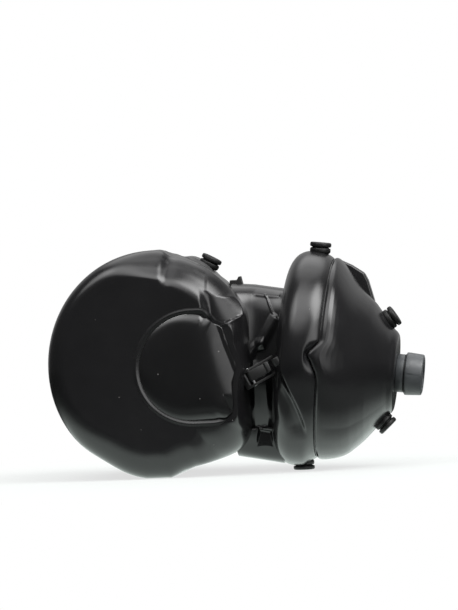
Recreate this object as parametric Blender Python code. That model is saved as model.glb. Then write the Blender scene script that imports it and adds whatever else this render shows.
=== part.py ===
# Smoke hood, lying on its side: a blow-moulded hood with a window, a short boot, and a filter
# chamber that ends in a turning hose coupling. Metres, +Z up, front of the hood towards -Y.
import math

import bmesh
import bpy
from mathutils import Vector

# Walls and gaps
WALL = 0.003
GAP = 0.0003

# Hood: its outline is set out round this centre, clockwise from straight up, seen from the front
HOOD_X = -0.0842
HOOD_Z = 0.1235
HOOD_HALF_WIDTH = 0.1175
HOOD_HALF_HEIGHT = 0.1246
FLANK_CUT = 0.0140
HOOD_FLANK = HOOD_HALF_WIDTH - FLANK_CUT
FLANK_X = HOOD_X + HOOD_FLANK
HOOD_FRONT = -0.100
HOOD_REAR = 0.105
HOOD_SEAM = 0.015
SHOULDER_DROP = 0.005
REAR_LIP = 0.0025
CROWN_LIP = 0.0035
EDGE_ROUND = 0.022
SHOULDER_SLOPE = 0.037
FLANK_CHAMFER = 0.013
FLANK_CHAMFER_DEPTH = 0.040
HOOD_STEPS = 56
EDGE_LIFTS = (0, 25, 50, 72, 90)
INNER_LIFTS = (90, 60, 30, 0)

# Window: a round end towards the left and a nose towards the boot, set out from the hood's flank
PANE_SHIFT = 0.0433
PANE_X = HOOD_X + PANE_SHIFT
PANE_Z = 0.1187
PANE_RADIUS = 0.0588
NOTCH_INSET = 0.0465
NOTCH_Z = 0.1775
CORNER_INSET = 0.0295
CORNER_Z = 0.1605
NOSE_INSET = 0.0154
NOSE_Z = 0.1200
TOE_INSET = 0.0205
TOE_Z = 0.0784
HEEL_INSET = 0.0265
HEEL_Z = 0.0610
PANE_CORNERS = ((FLANK_X - NOTCH_INSET, NOTCH_Z), (FLANK_X - CORNER_INSET, CORNER_Z), (FLANK_X - NOSE_INSET, NOSE_Z),
                (FLANK_X - TOE_INSET, TOE_Z), (FLANK_X - HEEL_INSET, HEEL_Z))
PANE_RISE = 0.007
PANE_ROUND = 0.011
PANE_SLANT = 0.026
PANE_SLANT_DROP = 0.005
SEAL_WIDTH = 0.0033
SEAL_LAP = 0.0026
SEAL_LIP = 0.0014

# Head opening in the rear, closed by a stretch seal under a clamp ring
OPENING_SIDE = 0.0375
OPENING_TOP = 0.0355
OPENING_HALF_WIDTH = HOOD_HALF_WIDTH - OPENING_SIDE
OPENING_HALF_HEIGHT = HOOD_HALF_HEIGHT - OPENING_TOP
CLAMP_WIDTH = 0.008
CLAMP_HEIGHT = 0.003
COLLAR_SHEET = 0.002
COLLAR_REACH = 0.034
COLLAR_DIP = 0.006
OPENING_STEPS = 40

# Boot between the hood and the chamber, and the air way through the hood's flank
BOOT_SHOULDER = 0.0043
BOOT_TOP_FALL = 0.0850
BOOT_RIM_DROP = 0.0367
BOOT_BOTTOM = 0.0110
BOOT_BOTTOM_FALL = 0.2000
BOOT_TUCK = 0.9
BOOT_DEPTH = 0.0570
BOOT_WAIST = 0.0480
BOOT_FLARE = 0.0300
BOOT_BURY = 0.0550
BOOT_ENTRY = 0.0200
BOOT_SQUARE = 2.6
BOOT_WALL = 0.003
BOOT_STEPS = 40
PORT_HALF_HEIGHT = 0.052
PORT_HALF_DEPTH = 0.036
PORT_Z = 0.1120

# Filter chamber, turned about its own axis, which runs down towards the coupling
WAIST_LENGTH = 0.0264
RIM_RADIUS = 0.1160
RIM_FACE = -0.0500
RIM_PORT = 0.0500
CHAMBER_LIFT = 0.0055
CHAMBER_X = FLANK_X + WAIST_LENGTH - RIM_FACE
CHAMBER_Z = RIM_RADIUS + CHAMBER_LIFT
CHAMBER_TILT = math.radians(7.3)
SEAM_GAP = 0.0030
SEAM_STEP = 0.0055
SEAM_RADIUS = RIM_RADIUS - SEAM_STEP
FLANGE_DEPTH = 0.0070
FLANGE_INNER = SEAM_RADIUS - FLANGE_DEPTH
FLANGE_WIDTH = 0.0160
CONE_LIP = 0.0012
CONE_RADIUS = SEAM_RADIUS + CONE_LIP
CONE_LENGTH = 0.0750
CONE_BEND = CONE_LENGTH - 0.0250
CONE_BEND_RADIUS = 0.0745
CONE_TIP = CONE_LENGTH - 0.0030
CONE_TIP_RADIUS = 0.0480
CONE_FACE_RADIUS = 0.0420
CONE_DROP = 0.0095
GASKET_LIP = 0.0010
CHAMBER_STEPS = 40
KEY_LENGTH = 0.0230
KEY_TIP = 0.0050
KEY_REACH = 0.0120
KEY_GROOVE = 0.0026
KEY_FLOOR = SEAM_RADIUS - CONE_LIP
KEY_OFFSET = 0.0040

# Filter stack inside the chamber
LEDGE_WIDTH = 0.0110
LEDGE_INNER = FLANGE_INNER - LEDGE_WIDTH
LEDGE_FACE = -0.0433
GRID_THICKNESS = 0.003
GRID_HOLE = 0.0240
GRID_HOLE_CIRCLE = 0.0620
FILTER_PLAY = 0.0020

# Coupling
BORE_RADIUS = 0.0160
TUBE_RADIUS = 0.0190
TUBE_START = 0.0590
SHOULDER_RADIUS = 0.0209
SHOULDER_LENGTH = 0.0117
COUPLING_END = 0.1080
SNAP_LIP = 0.0010
SNAP_LENGTH = 0.0030
RING_THICKNESS = 0.0008
RING_RADIUS = 0.0213
COLLAR_RADIUS = 0.0234
COLLAR_END_RADIUS = 0.0224
COLLAR_SETBACK = 0.0005
DOT_RADIUS = 0.0011
DOT_DEPTH = 0.0010
NUT_FLATS = 0.0260
NUT_THICKNESS = 0.0060
COUPLING_STEPS = 28

# Breathing valve in the bore
SEAT_START = 0.0620
SEAT_THICKNESS = 0.0030
SEAT_HOLE = 0.0034
SEAT_HOLE_CIRCLE = 0.0092
FLAP_RADIUS = 0.0137
FLAP_THICKNESS = 0.0012
FLAP_LIFT = 0.0030
VALVE_STEM = 0.0016
VALVE_STEM_PLAY = 0.0004
VALVE_HEAD = 0.0034
VALVE_HEAD_THICKNESS = 0.0012

# Rubber studs, pushed into holes in the shells
STUD_RADIUS = 0.0114
STUD_HEIGHT = 0.0105
STUD_GROOVE = 0.0012
STUD_GROOVE_DEPTH = 0.0024
STUD_STEM = 0.0045
STUD_BARB = 0.0062
STUD_BARB_LENGTH = 0.0030
STUD_STEPS = 12
HOOD_STUD_ANGLE = math.radians(26.7)
HOOD_STUD_Y = 0.0350
RIM_STUD_U = -0.0165
CONE_STUD_U = CONE_LENGTH - 0.0105
CONE_STUD_LOW_U = CONE_LENGTH - 0.0075
FOOT_STUD_U = -0.0150

# Side clips across the gap between hood and chamber
CLIP_SLOPE = math.radians(27.0)
CLIP_Z = 0.1073
CLIP_INSET = 0.0160
CLIP_STANDOFF = 0.0010
CLIP_CLEAR = 0.0040
CLIP_WIDTH = 0.0116
EAR_THICKNESS = 0.0027
EAR_HEIGHT = 0.0036
PIN_RADIUS = 0.0015
BARREL_RADIUS = 0.0033
LEVER_THICKNESS = 0.0036
LIP_THICKNESS = 0.0030
LIP_DROP = 0.0034
NOSE_WIDTH = 0.0050

# Lanyard cleat on the shoulder and harness lug behind the cone
CLEAT_WIDTH = 0.0100
CLEAT_BASE = 0.0065
CLEAT_PRONG = 0.0060
CLEAT_ANGLE = math.radians(48.0)
CLEAT_LENGTH = 0.0190
LUG_START = 0.0025
LUG_END = 0.0455
LUG_STAND = 0.0216
LUG_Y = 0.0330
LUG_THICKNESS = 0.0180


def clear_scene():
    for thing in list(bpy.data.objects):
        bpy.data.objects.remove(thing, do_unlink=True)


def plain(name, colour, roughness):
    made = bpy.data.materials.new(name)
    made.use_nodes = True
    shader = made.node_tree.nodes["Principled BSDF"]
    shader.inputs["Base Color"].default_value = (*colour, 1.0)
    shader.inputs["Roughness"].default_value = roughness
    made.diffuse_color = (*colour, 1.0)
    return made


def frame(name, place, turn=(0.0, 0.0, 0.0)):
    empty = bpy.data.objects.new(name, None)
    empty.location = place
    empty.rotation_euler = turn
    bpy.context.scene.collection.objects.link(empty)
    return empty


def solid(name, bm, material, parent=None):
    bmesh.ops.remove_doubles(bm, verts=bm.verts, dist=1e-7)
    bmesh.ops.recalc_face_normals(bm, faces=bm.faces)
    mesh = bpy.data.meshes.new(name)
    bm.to_mesh(mesh)
    bm.free()
    mesh.materials.append(material)
    made = bpy.data.objects.new(name, mesh)
    made.parent = parent
    bpy.context.scene.collection.objects.link(made)
    return made


def helper(name, bm, parent=None):
    made = solid(name, bm, shades["helper"], parent)
    made.hide_render = True
    made.display_type = "WIRE"
    return made


def combine(target, other, operation="DIFFERENCE"):
    step = target.modifiers.new(other.name, "BOOLEAN")
    step.object = other
    step.operation = operation
    step.solver = "EXACT"


def ramp(value, start, end):
    part = min(max((value - start) / (end - start), 0.0), 1.0)
    return part * part * (3.0 - 2.0 * part)


def skin(rings, ends):
    # Faces between neighbouring rings; ends "joined" makes a hoop, "capped" closes the first and last ring
    bm = bmesh.new()
    loops = [[bm.verts.new(point) for point in ring] for ring in rings]
    pairs = list(zip(loops, loops[1:]))
    if ends == "joined":
        pairs.append((loops[-1], loops[0]))
    for near, far in pairs:
        for k in range(len(near)):
            after = (k + 1) % len(near)
            bm.faces.new((near[k], near[after], far[after], far[k]))
    if ends == "capped":
        bm.faces.new(list(reversed(loops[0])))
        bm.faces.new(loops[-1])
    return bm


def turned(profile, steps):
    # Spins a closed outline of (along, radius) points round the local X axis
    bm = bmesh.new()
    points = [bm.verts.new((along, 0.0, radius)) for along, radius in profile]
    edges = [bm.edges.new((points[k - 1], points[k])) for k in range(len(points))]
    bmesh.ops.spin(bm, geom=points + edges, axis=(1.0, 0.0, 0.0), cent=(0.0, 0.0, 0.0),
                   dvec=(0.0, 0.0, 0.0), angle=math.tau, steps=steps, use_merge=True)
    bmesh.ops.remove_doubles(bm, verts=bm.verts, dist=1e-7)
    bmesh.ops.dissolve_degenerate(bm, edges=bm.edges, dist=1e-7)
    spare = [edge for edge in bm.edges if not edge.link_faces]
    bmesh.ops.delete(bm, geom=spare, context="EDGES")
    return bm


def prism(outline, start, end, axis):
    # Extrudes a flat outline from start to end along Y or Z
    bm = bmesh.new()
    if axis == "Y":
        points = [bm.verts.new((a, start, b)) for a, b in outline]
        travel = (0.0, end - start, 0.0)
    else:
        points = [bm.verts.new((a, b, start)) for a, b in outline]
        travel = (0.0, 0.0, end - start)
    face = bm.faces.new(points)
    made = bmesh.ops.extrude_face_region(bm, geom=[face])
    moved = [item for item in made["geom"] if isinstance(item, bmesh.types.BMVert)]
    bmesh.ops.translate(bm, verts=moved, vec=travel)
    return bm


def rods(centres, radius, start, end, steps, axis):
    # Separate round rods side by side in one mesh, along X or Z
    bm = bmesh.new()
    for first, second in centres:
        made = bmesh.ops.create_cone(bm, cap_ends=True, segments=steps, radius1=radius,
                                     radius2=radius, depth=end - start)
        for vert in made["verts"]:
            x, y, z = vert.co
            middle = (start + end) / 2.0 + z
            vert.co = (middle, first + x, second + y) if axis == "X" else (first + x, second + y, middle)
    return bm


def circle_of(count, radius):
    return [(radius * math.cos(math.tau * k / count), radius * math.sin(math.tau * k / count))
            for k in range(count)]


def angles(steps):
    return [math.tau * k / steps for k in range(steps)]


def at_hood(angle, radius, y):
    return (HOOD_X + radius * math.sin(angle), y, HOOD_Z + radius * math.cos(angle))


# Hood outline and its edge


def hood_radius(angle, grow=0.0):
    across, up = math.sin(angle), math.cos(angle)
    wide, tall = HOOD_HALF_WIDTH + grow, HOOD_HALF_HEIGHT + grow
    radius = wide * tall / math.hypot(tall * across, wide * up)
    turn = math.degrees(angle) % 360.0
    radius -= SHOULDER_DROP * ramp(turn, 5.0, 13.0) * (1.0 - ramp(turn, 166.0, 177.0))
    if across > 0.05:
        flank = (HOOD_FLANK + grow) / across
        radius = (radius ** -14 + flank ** -14) ** (-1.0 / 14)
    if up < -0.5:
        radius = min(radius, (HOOD_Z + min(grow, 0.0)) / -up)
    return radius


def flank_share(angle):
    turn = math.degrees(angle) % 360.0
    return ramp(turn, 50.0, 73.0) * (1.0 - ramp(turn, 118.0, 142.0))


def front_edge(angle):
    # Width across the face, depth along the side, and roundness of the front edge
    turn = (math.degrees(angle) + 180.0) % 360.0 - 180.0
    wide = EDGE_ROUND + (SHOULDER_SLOPE - EDGE_ROUND) * ramp(turn, -45.0, 5.0) * (1.0 - ramp(turn, 80.0, 130.0))
    share = flank_share(angle)
    wide += (FLANK_CHAMFER - wide) * share
    deep = EDGE_ROUND + (FLANK_CHAMFER_DEPTH - EDGE_ROUND) * share
    wide = min(wide, hood_radius(angle) - pane_radius(angle, SEAL_WIDTH + 2.0 * GAP + SEAL_LAP))
    return wide, deep, 2.0 - 0.75 * share


def rear_edge(angle):
    share = flank_share(angle)
    wide = EDGE_ROUND + (FLANK_CHAMFER - EDGE_ROUND) * share
    deep = EDGE_ROUND + (FLANK_CHAMFER_DEPTH - EDGE_ROUND) * share
    return wide, deep, 2.0 - 0.75 * share


def lip(angle):
    turn = math.degrees(angle) % 360.0
    left = REAR_LIP * ramp(turn, 215.0, 262.0) * (1.0 - ramp(turn, 322.0, 345.0))
    return left + CROWN_LIP * ramp(turn, 8.0, 18.0) * (1.0 - ramp(turn, 33.0, 44.0))


def edge_ring(lift, thick, rear=False, grow=0.0):
    # One ring of the rounded edge: lift 0 is on the side wall, 90 degrees is on the flat face
    ring = []
    for angle in angles(HOOD_STEPS):
        wide, deep, power = rear_edge(angle) if rear else front_edge(angle)
        wide, deep = wide - thick + grow, deep - thick + grow
        inset = wide * (1.0 - math.cos(lift) ** (2.0 / power))
        back = deep * (1.0 - math.sin(lift) ** (2.0 / power))
        radius = hood_radius(angle, grow - thick + (lip(angle) if rear else 0.0)) - inset
        y = HOOD_REAR - thick + grow - back if rear else HOOD_FRONT + thick - grow + back
        ring.append(at_hood(angle, radius, y))
    return ring


def side_ring(y, grow):
    return [at_hood(angle, hood_radius(angle, grow(angle)), y) for angle in angles(HOOD_STEPS)]


def edge_rings(lifts, thick, rear=False, grow=0.0):
    return [edge_ring(math.radians(lift), thick, rear, grow) for lift in lifts]


# Window outline


def pane_radius(angle, grow=0.0):
    across, up = math.sin(angle), math.cos(angle)
    shift_x, shift_z = HOOD_X - PANE_X, HOOD_Z - PANE_Z
    size = PANE_RADIUS + grow
    along = shift_x * across + shift_z * up
    radius = -along + math.sqrt(along * along + size * size - shift_x ** 2 - shift_z ** 2)
    if shift_x + radius * across > 0.0:
        radius = (size - shift_z) / up if up > 0.0 else (size + shift_z) / -up if up < 0.0 else 1.0
    for (x0, z0), (x1, z1) in zip(PANE_CORNERS, PANE_CORNERS[1:]):
        length = math.hypot(x1 - x0, z1 - z0)
        out_x, out_z = (z0 - z1) / length, (x1 - x0) / length
        slope = out_x * across + out_z * up
        if slope > 0.05:
            edge = (out_x * (x0 - HOOD_X) + out_z * (z0 - HOOD_Z) + grow) / slope
            radius = (radius ** -22 + edge ** -22) ** (-1.0 / 22)
    return radius


def pane_ring(grow, y, slanted=False):
    ring = []
    for angle in angles(HOOD_STEPS):
        x, _, z = at_hood(angle, pane_radius(angle, grow), y)
        back = max(0.0, x - FLANK_X + NOSE_INSET + PANE_SLANT) / PANE_SLANT * PANE_SLANT_DROP if slanted else 0.0
        ring.append((x, y + back, z))
    return ring


def opening_ring(grow, y, steps):
    ring = []
    for angle in angles(steps):
        wide, tall = OPENING_HALF_WIDTH + grow, OPENING_HALF_HEIGHT + grow
        radius = wide * tall / math.hypot(tall * math.sin(angle), wide * math.cos(angle))
        ring.append(at_hood(angle, radius, y))
    return ring


def air_way():
    # Cutter for the way from the hood into the boot
    outline = [(PORT_HALF_DEPTH * math.cos(angle), PORT_Z + PORT_HALF_HEIGHT * math.sin(angle))
               for angle in angles(24)]
    rings = [[(FLANK_X + step, y, z) for y, z in outline] for step in (-0.012, 0.010)]
    return helper("air_way_cutter", skin(rings, "capped"))


def hood_block():
    # The hood's whole outside, one gap larger, used to seat other pieces against it
    rings = edge_rings(EDGE_LIFTS[::-1], 0.0, False, GAP)
    rings += edge_rings(EDGE_LIFTS, 0.0, True, GAP)
    return helper("hood_block", skin(rings, "capped"))


def hood_front_shell():
    half = GAP / 2.0
    aperture = SEAL_WIDTH + 2.0 * GAP
    rings = [side_ring(HOOD_SEAM - half, lambda angle: 0.0)]
    rings += edge_rings(EDGE_LIFTS, 0.0)
    rings += [pane_ring(aperture, HOOD_FRONT), pane_ring(aperture, HOOD_FRONT + WALL)]
    rings += edge_rings(INNER_LIFTS, WALL)
    rings.append(side_ring(HOOD_SEAM - half, lambda angle: -WALL))
    made = solid("hood_front_shell", skin(rings, "joined"), shades["hood"])
    combine(made, air_way_cutter)
    return made


def hood_rear_shell():
    half = GAP / 2.0
    rings = [side_ring(HOOD_SEAM + half, lip)]
    rings += edge_rings(EDGE_LIFTS, 0.0, True)
    rings += [opening_ring(0.0, HOOD_REAR, HOOD_STEPS), opening_ring(0.0, HOOD_REAR - WALL, HOOD_STEPS)]
    rings += edge_rings(INNER_LIFTS, WALL, True)
    rings.append(side_ring(HOOD_SEAM + half, lambda angle: lip(angle) - WALL))
    made = solid("hood_rear_shell", skin(rings, "joined"), shades["hood"])
    combine(made, air_way_cutter)
    return made


def visor():
    top = HOOD_FRONT - PANE_RISE
    rings = []
    for share in (0.0, 0.3, 0.65, 1.0):
        lift = share * math.pi / 2.0
        rings.append(pane_ring(-PANE_ROUND * (1.0 - math.cos(lift)), top + PANE_RISE * (1.0 - math.sin(lift)), True))
    inner = [pane_ring(-WALL, HOOD_FRONT + WALL), pane_ring(-WALL, HOOD_FRONT, True),
             pane_ring(-PANE_ROUND, top + WALL, True)]
    outer = [pane_ring(0.0, HOOD_FRONT + WALL)] + rings
    return solid("visor", skin(list(reversed(inner)) + outer, "capped"), shades["visor"])


def visor_seal():
    start, end = GAP, GAP + SEAL_WIDTH
    front = HOOD_FRONT - GAP
    section = [(start, HOOD_FRONT + WALL), (start, front - SEAL_LIP * 0.5), (end, front - SEAL_LIP),
               (end + SEAL_LAP, front - SEAL_LIP * 0.4), (end + SEAL_LAP, front), (end, front),
               (end, HOOD_FRONT + WALL)]
    rings = [pane_ring(grow, y) for grow, y in section]
    return solid("visor_seal", skin(rings, "joined"), shades["seal"])


def neck_seal():
    start = HOOD_REAR + GAP
    end = start + COLLAR_SHEET
    section = [(CLAMP_WIDTH, start), (CLAMP_WIDTH, end), (-0.002, end), (-COLLAR_REACH, end - COLLAR_DIP),
               (-COLLAR_REACH, start - COLLAR_DIP), (-0.0015, start)]
    rings = [opening_ring(grow, y, OPENING_STEPS) for grow, y in section]
    return solid("neck_seal", skin(rings, "joined"), shades["seal"])


def neck_seal_ring():
    start = HOOD_REAR + GAP + COLLAR_SHEET + GAP
    section = [(0.0, start), (CLAMP_WIDTH, start), (CLAMP_WIDTH, start + CLAMP_HEIGHT), (0.0, start + CLAMP_HEIGHT)]
    rings = [opening_ring(grow, y, OPENING_STEPS) for grow, y in section]
    return solid("neck_seal_ring", skin(rings, "joined"), shades["trim"])


# Boot


def boot_top(x):
    # From the hood's shoulder straight to a place below the rim's top
    high = at_hood(CLEAT_ANGLE, hood_radius(CLEAT_ANGLE), 0.0)[2] + BOOT_SHOULDER
    if x < FLANK_X:
        return high + BOOT_TOP_FALL * (FLANK_X - x)
    low = CHAMBER_Z + RIM_RADIUS - BOOT_RIM_DROP
    return high + (low - high) * (x - FLANK_X) / WAIST_LENGTH


def boot_ring(x, inset):
    middle = FLANK_X + WAIST_LENGTH / 2.0
    spread = abs(x - middle) / BOOT_FLARE
    deep = BOOT_WAIST + (BOOT_DEPTH - BOOT_WAIST) * min(spread, 1.0) - inset
    top = boot_top(x) - inset
    bottom = BOOT_BOTTOM - BOOT_BOTTOM_FALL * (x - middle) + inset
    bottom += BOOT_TUCK * max(0.0, x - FLANK_X - WAIST_LENGTH)
    ring = []
    for angle in angles(BOOT_STEPS):
        c, s = math.cos(angle), math.sin(angle)
        y = deep * math.copysign(abs(c) ** (2.0 / BOOT_SQUARE), c)
        z = (top + bottom) / 2.0 + (top - bottom) / 2.0 * math.copysign(abs(s) ** (2.0 / BOOT_SQUARE), s)
        ring.append((x, y, z))
    return ring


def neck_boot():
    left, right = FLANK_X, FLANK_X + WAIST_LENGTH
    middle = (left + right) / 2.0
    places = [left - BOOT_BURY, left - 0.006, middle - 0.005, middle + 0.005, right + 0.006, right + BOOT_ENTRY]
    rings = [boot_ring(x, 0.0) for x in places]
    rings += [boot_ring(x, BOOT_WALL) for x in reversed(places)]
    made = solid("neck_boot", skin(rings, "joined"), shades["hood"])
    combine(made, hood_cutter)
    combine(made, chamber_cutter)
    return made


# Filter chamber, in its own tilted frame


def rim_outside():
    return [(RIM_FACE, RIM_RADIUS - 0.0400), (RIM_FACE + 0.0022, RIM_RADIUS - 0.0200),
            (RIM_FACE + 0.0085, RIM_RADIUS - 0.0070), (RIM_FACE + 0.0190, RIM_RADIUS - 0.0008),
            (RIM_FACE + 0.0290, RIM_RADIUS), (RIM_FACE + 0.0400, RIM_RADIUS - 0.0020),
            (-SEAM_GAP / 2.0 - 0.0022, SEAM_RADIUS + 0.0024), (-SEAM_GAP / 2.0, SEAM_RADIUS)]


def rim_line(along):
    # Radius of the rim's outside at a distance along the axis
    outside = rim_outside()
    for (start, first), (end, second) in zip(outside, outside[1:]):
        if start <= along <= end:
            return first + (second - first) * (along - start) / (end - start)
    return SEAM_RADIUS


def rim_face_x(y, z):
    # World X of the rim's face at a place beside the boot
    up = (z - CHAMBER_Z + RIM_FACE * math.sin(CHAMBER_TILT)) / math.cos(CHAMBER_TILT)
    reach, along = math.hypot(y, up), RIM_FACE
    outside = rim_outside()[:4]
    for (start, first), (end, second) in zip(outside, outside[1:]):
        along = max(along, min(start + (end - start) * (reach - first) / (second - first), end))
    return CHAMBER_X + along * math.cos(CHAMBER_TILT) + up * math.sin(CHAMBER_TILT)


def chamber_block():
    # The rim's outside, one gap larger, used to seat the boot and the clip catches
    outside = [(along - GAP, radius + GAP) for along, radius in rim_outside()]
    profile = [(RIM_FACE - GAP, 0.0)] + outside + [(outside[-1][0], 0.0)]
    return helper("chamber_block", turned(profile, CHAMBER_STEPS), chamber_frame)


def cone_fall(along):
    # How steeply the cone's outside falls: gently at first, more steeply past its bend
    if along < CONE_BEND:
        return (CONE_RADIUS - CONE_BEND_RADIUS) / (CONE_BEND - 0.0040)
    return (CONE_BEND_RADIUS - CONE_TIP_RADIUS) / (CONE_TIP - CONE_BEND)


def cone_line(along, thick=0.0):
    # Radius of the cone's outside at a distance along the axis
    fall = cone_fall(along)
    return CONE_BEND_RADIUS - fall * (along - CONE_BEND) - thick * math.hypot(1.0, fall)


def cone_drop(along):
    # How far the cone's middle lies below the rim's axis
    return CONE_DROP * ramp(along / CONE_LENGTH, 0.08, 0.50)


def key_outline(groove):
    half, tip, reach = KEY_LENGTH - groove, KEY_TIP - groove * 0.4, KEY_REACH - groove
    near = -SEAM_GAP / 2.0
    return half, tip, near - reach


def key_block(name, groove, stop, floor):
    half, tip, reach = key_outline(groove)
    bm = bmesh.new()
    corners = [(stop, -half), (stop, half), (-SEAM_GAP / 2.0, half), (reach, tip), (reach, -tip),
               (-SEAM_GAP / 2.0, -half)]
    points = [bm.verts.new((along, -floor, KEY_OFFSET + side)) for along, side in corners]
    face = bm.faces.new(points)
    made = bmesh.ops.extrude_face_region(bm, geom=[face])
    moved = [item for item in made["geom"] if isinstance(item, bmesh.types.BMVert)]
    bmesh.ops.translate(bm, verts=moved, vec=(0.0, -0.03, 0.0))
    return helper(name, bm, chamber_frame)


def chamber_rim():
    outside = rim_outside()
    near = -SEAM_GAP / 2.0
    profile = [(RIM_FACE, RIM_PORT)] + outside
    profile += [(near, FLANGE_INNER), (near - FLANGE_WIDTH, FLANGE_INNER),
                (RIM_FACE + 0.0290, RIM_RADIUS - WALL), (RIM_FACE + 0.0195, RIM_RADIUS - WALL - 0.0008),
                (LEDGE_FACE, RIM_RADIUS - 0.0120), (LEDGE_FACE, LEDGE_INNER),
                (RIM_FACE + WALL, LEDGE_INNER), (RIM_FACE + WALL, RIM_PORT)]
    made = solid("chamber_rim", turned(profile, CHAMBER_STEPS), shades["hood"], chamber_frame)
    combine(made, key_block("key_notch_cutter", 0.0, 0.001, KEY_FLOOR))
    return made


def chamber_cone():
    near, end = SEAM_GAP / 2.0, CONE_LENGTH
    hole = TUBE_RADIUS + GAP
    profile = [(near, FLANGE_INNER - 0.005), (near, SEAM_RADIUS), (0.0040, CONE_RADIUS)]
    profile += [(along, cone_line(along)) for along in (end * 0.16, end * 0.27, end * 0.38, end * 0.50, CONE_BEND)]
    profile += [(CONE_TIP, CONE_TIP_RADIUS), (end, CONE_FACE_RADIUS), (end, hole),
                (end - WALL, hole), (end - WALL, cone_line(end - WALL, WALL))]
    profile += [(along, cone_line(along, WALL)) for along in (CONE_BEND - 0.001, end * 0.50, end * 0.32, 0.0140)]
    profile.append((0.0120, FLANGE_INNER - 0.005))
    bm = turned(profile, CHAMBER_STEPS)
    for vert in bm.verts:
        vert.co.z -= cone_drop(vert.co.x)
    made = solid("chamber_cone", bm, shades["hood"], chamber_frame)
    rim_profile = [(RIM_FACE, 0.0)] + rim_outside()[:-1] + [(0.0040, CONE_RADIUS - 0.0006), (0.0040, 0.0)]
    key = helper("seam_key", turned(rim_profile, CHAMBER_STEPS), chamber_frame)
    combine(key, key_block("key_tongue_block", KEY_GROOVE, 0.0036, KEY_FLOOR + GAP), "INTERSECT")
    combine(made, key, "UNION")
    return made


def chamber_gasket():
    half = SEAM_GAP / 2.0 - GAP
    profile = [(-half, FLANGE_INNER + GASKET_LIP), (-half, SEAM_RADIUS - 2.0 * GASKET_LIP),
               (half, SEAM_RADIUS - 2.0 * GASKET_LIP), (half, FLANGE_INNER + GASKET_LIP)]
    return solid("chamber_gasket", turned(profile, CHAMBER_STEPS), shades["seal"], chamber_frame)


def filter_grid(name, start):
    radius = FLANGE_INNER - FILTER_PLAY
    profile = [(start, 0.0), (start, radius), (start + GRID_THICKNESS, radius), (start + GRID_THICKNESS, 0.0)]
    made = solid(name, turned(profile, 30), shades["trim"], chamber_frame)
    holes = rods(circle_of(6, GRID_HOLE_CIRCLE), GRID_HOLE, start - 0.002, start + GRID_THICKNESS + 0.002, 10, "X")
    combine(made, helper(name + "_cutter", holes, chamber_frame))
    return made


def filter_stack():
    outlet = LEDGE_FACE + GAP
    inlet = SEAM_GAP / 2.0 - GAP - GRID_THICKNESS
    radius = FLANGE_INNER - FILTER_PLAY
    start, end = outlet + GRID_THICKNESS + GAP, inlet - GAP
    filter_grid("filter_grid_outlet", outlet)
    filter_grid("filter_grid_inlet", inlet)
    profile = [(start, 0.0), (start, radius), (end, radius), (end, 0.0)]
    solid("filter_element", turned(profile, 30), shades["filter"], chamber_frame)


# Coupling


def spigot():
    stop = CONE_LENGTH + GAP
    ring = stop + SHOULDER_LENGTH
    lip_start = COUPLING_END - SNAP_LENGTH
    profile = [(TUBE_START, BORE_RADIUS), (TUBE_START, TUBE_RADIUS), (stop, TUBE_RADIUS), (stop, SHOULDER_RADIUS),
               (ring, SHOULDER_RADIUS), (ring, TUBE_RADIUS), (lip_start, TUBE_RADIUS),
               (lip_start + SNAP_LIP, TUBE_RADIUS + SNAP_LIP), (COUPLING_END, TUBE_RADIUS + SNAP_LIP),
               (COUPLING_END, BORE_RADIUS)]
    return solid("spigot", turned(profile, COUPLING_STEPS), shades["grey"], coupling_frame)


def spigot_nut():
    start = CONE_LENGTH - WALL - GAP - NUT_THICKNESS
    rings = []
    for along, hexed in ((start, False), (start, True), (start + NUT_THICKNESS, True), (start + NUT_THICKNESS, False)):
        ring = []
        for angle in angles(36):
            flat = (angle + math.pi / 6.0) % (math.pi / 3.0) - math.pi / 6.0
            radius = NUT_FLATS / math.cos(flat) if hexed else TUBE_RADIUS + GAP
            ring.append((along, radius * math.cos(angle), radius * math.sin(angle)))
        rings.append(ring)
    return solid("spigot_nut", skin(rings, "joined"), shades["grey"], coupling_frame)


def collar_start():
    return CONE_LENGTH + GAP + SHOULDER_LENGTH + GAP + RING_THICKNESS + GAP


def coupling_ring():
    start = CONE_LENGTH + GAP + SHOULDER_LENGTH + GAP
    profile = [(start, TUBE_RADIUS + GAP), (start, RING_RADIUS), (start + RING_THICKNESS, RING_RADIUS),
               (start + RING_THICKNESS, TUBE_RADIUS + GAP)]
    return solid("coupling_ring", turned(profile, COUPLING_STEPS), shades["seal"], coupling_frame)


def coupling_collar():
    start, end = collar_start(), COUPLING_END - COLLAR_SETBACK
    bore, wide_bore = TUBE_RADIUS + GAP, TUBE_RADIUS + SNAP_LIP + GAP
    step = COUPLING_END - SNAP_LENGTH - 2.0 * GAP
    profile = [(start, bore), (start, COLLAR_RADIUS - 0.0008), (start + 0.0008, COLLAR_RADIUS),
               (start + 0.0050, COLLAR_RADIUS), (end - 0.0010, COLLAR_END_RADIUS),
               (end, COLLAR_END_RADIUS - 0.0008), (end, wide_bore), (step, wide_bore), (step, bore)]
    made = solid("coupling_collar", turned(profile, COUPLING_STEPS), shades["grey"], coupling_frame)
    dot = bmesh.new()
    made_dot = bmesh.ops.create_cone(dot, cap_ends=True, segments=10, radius1=DOT_RADIUS, radius2=DOT_RADIUS,
                                     depth=0.004)
    for vert in made_dot["verts"]:
        x, y, z = vert.co
        vert.co = (start + 0.0045 + x, -(COLLAR_RADIUS - DOT_DEPTH + 0.002) + z, y)
    combine(made, helper("index_dot_cutter", dot, coupling_frame))
    return made


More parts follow.
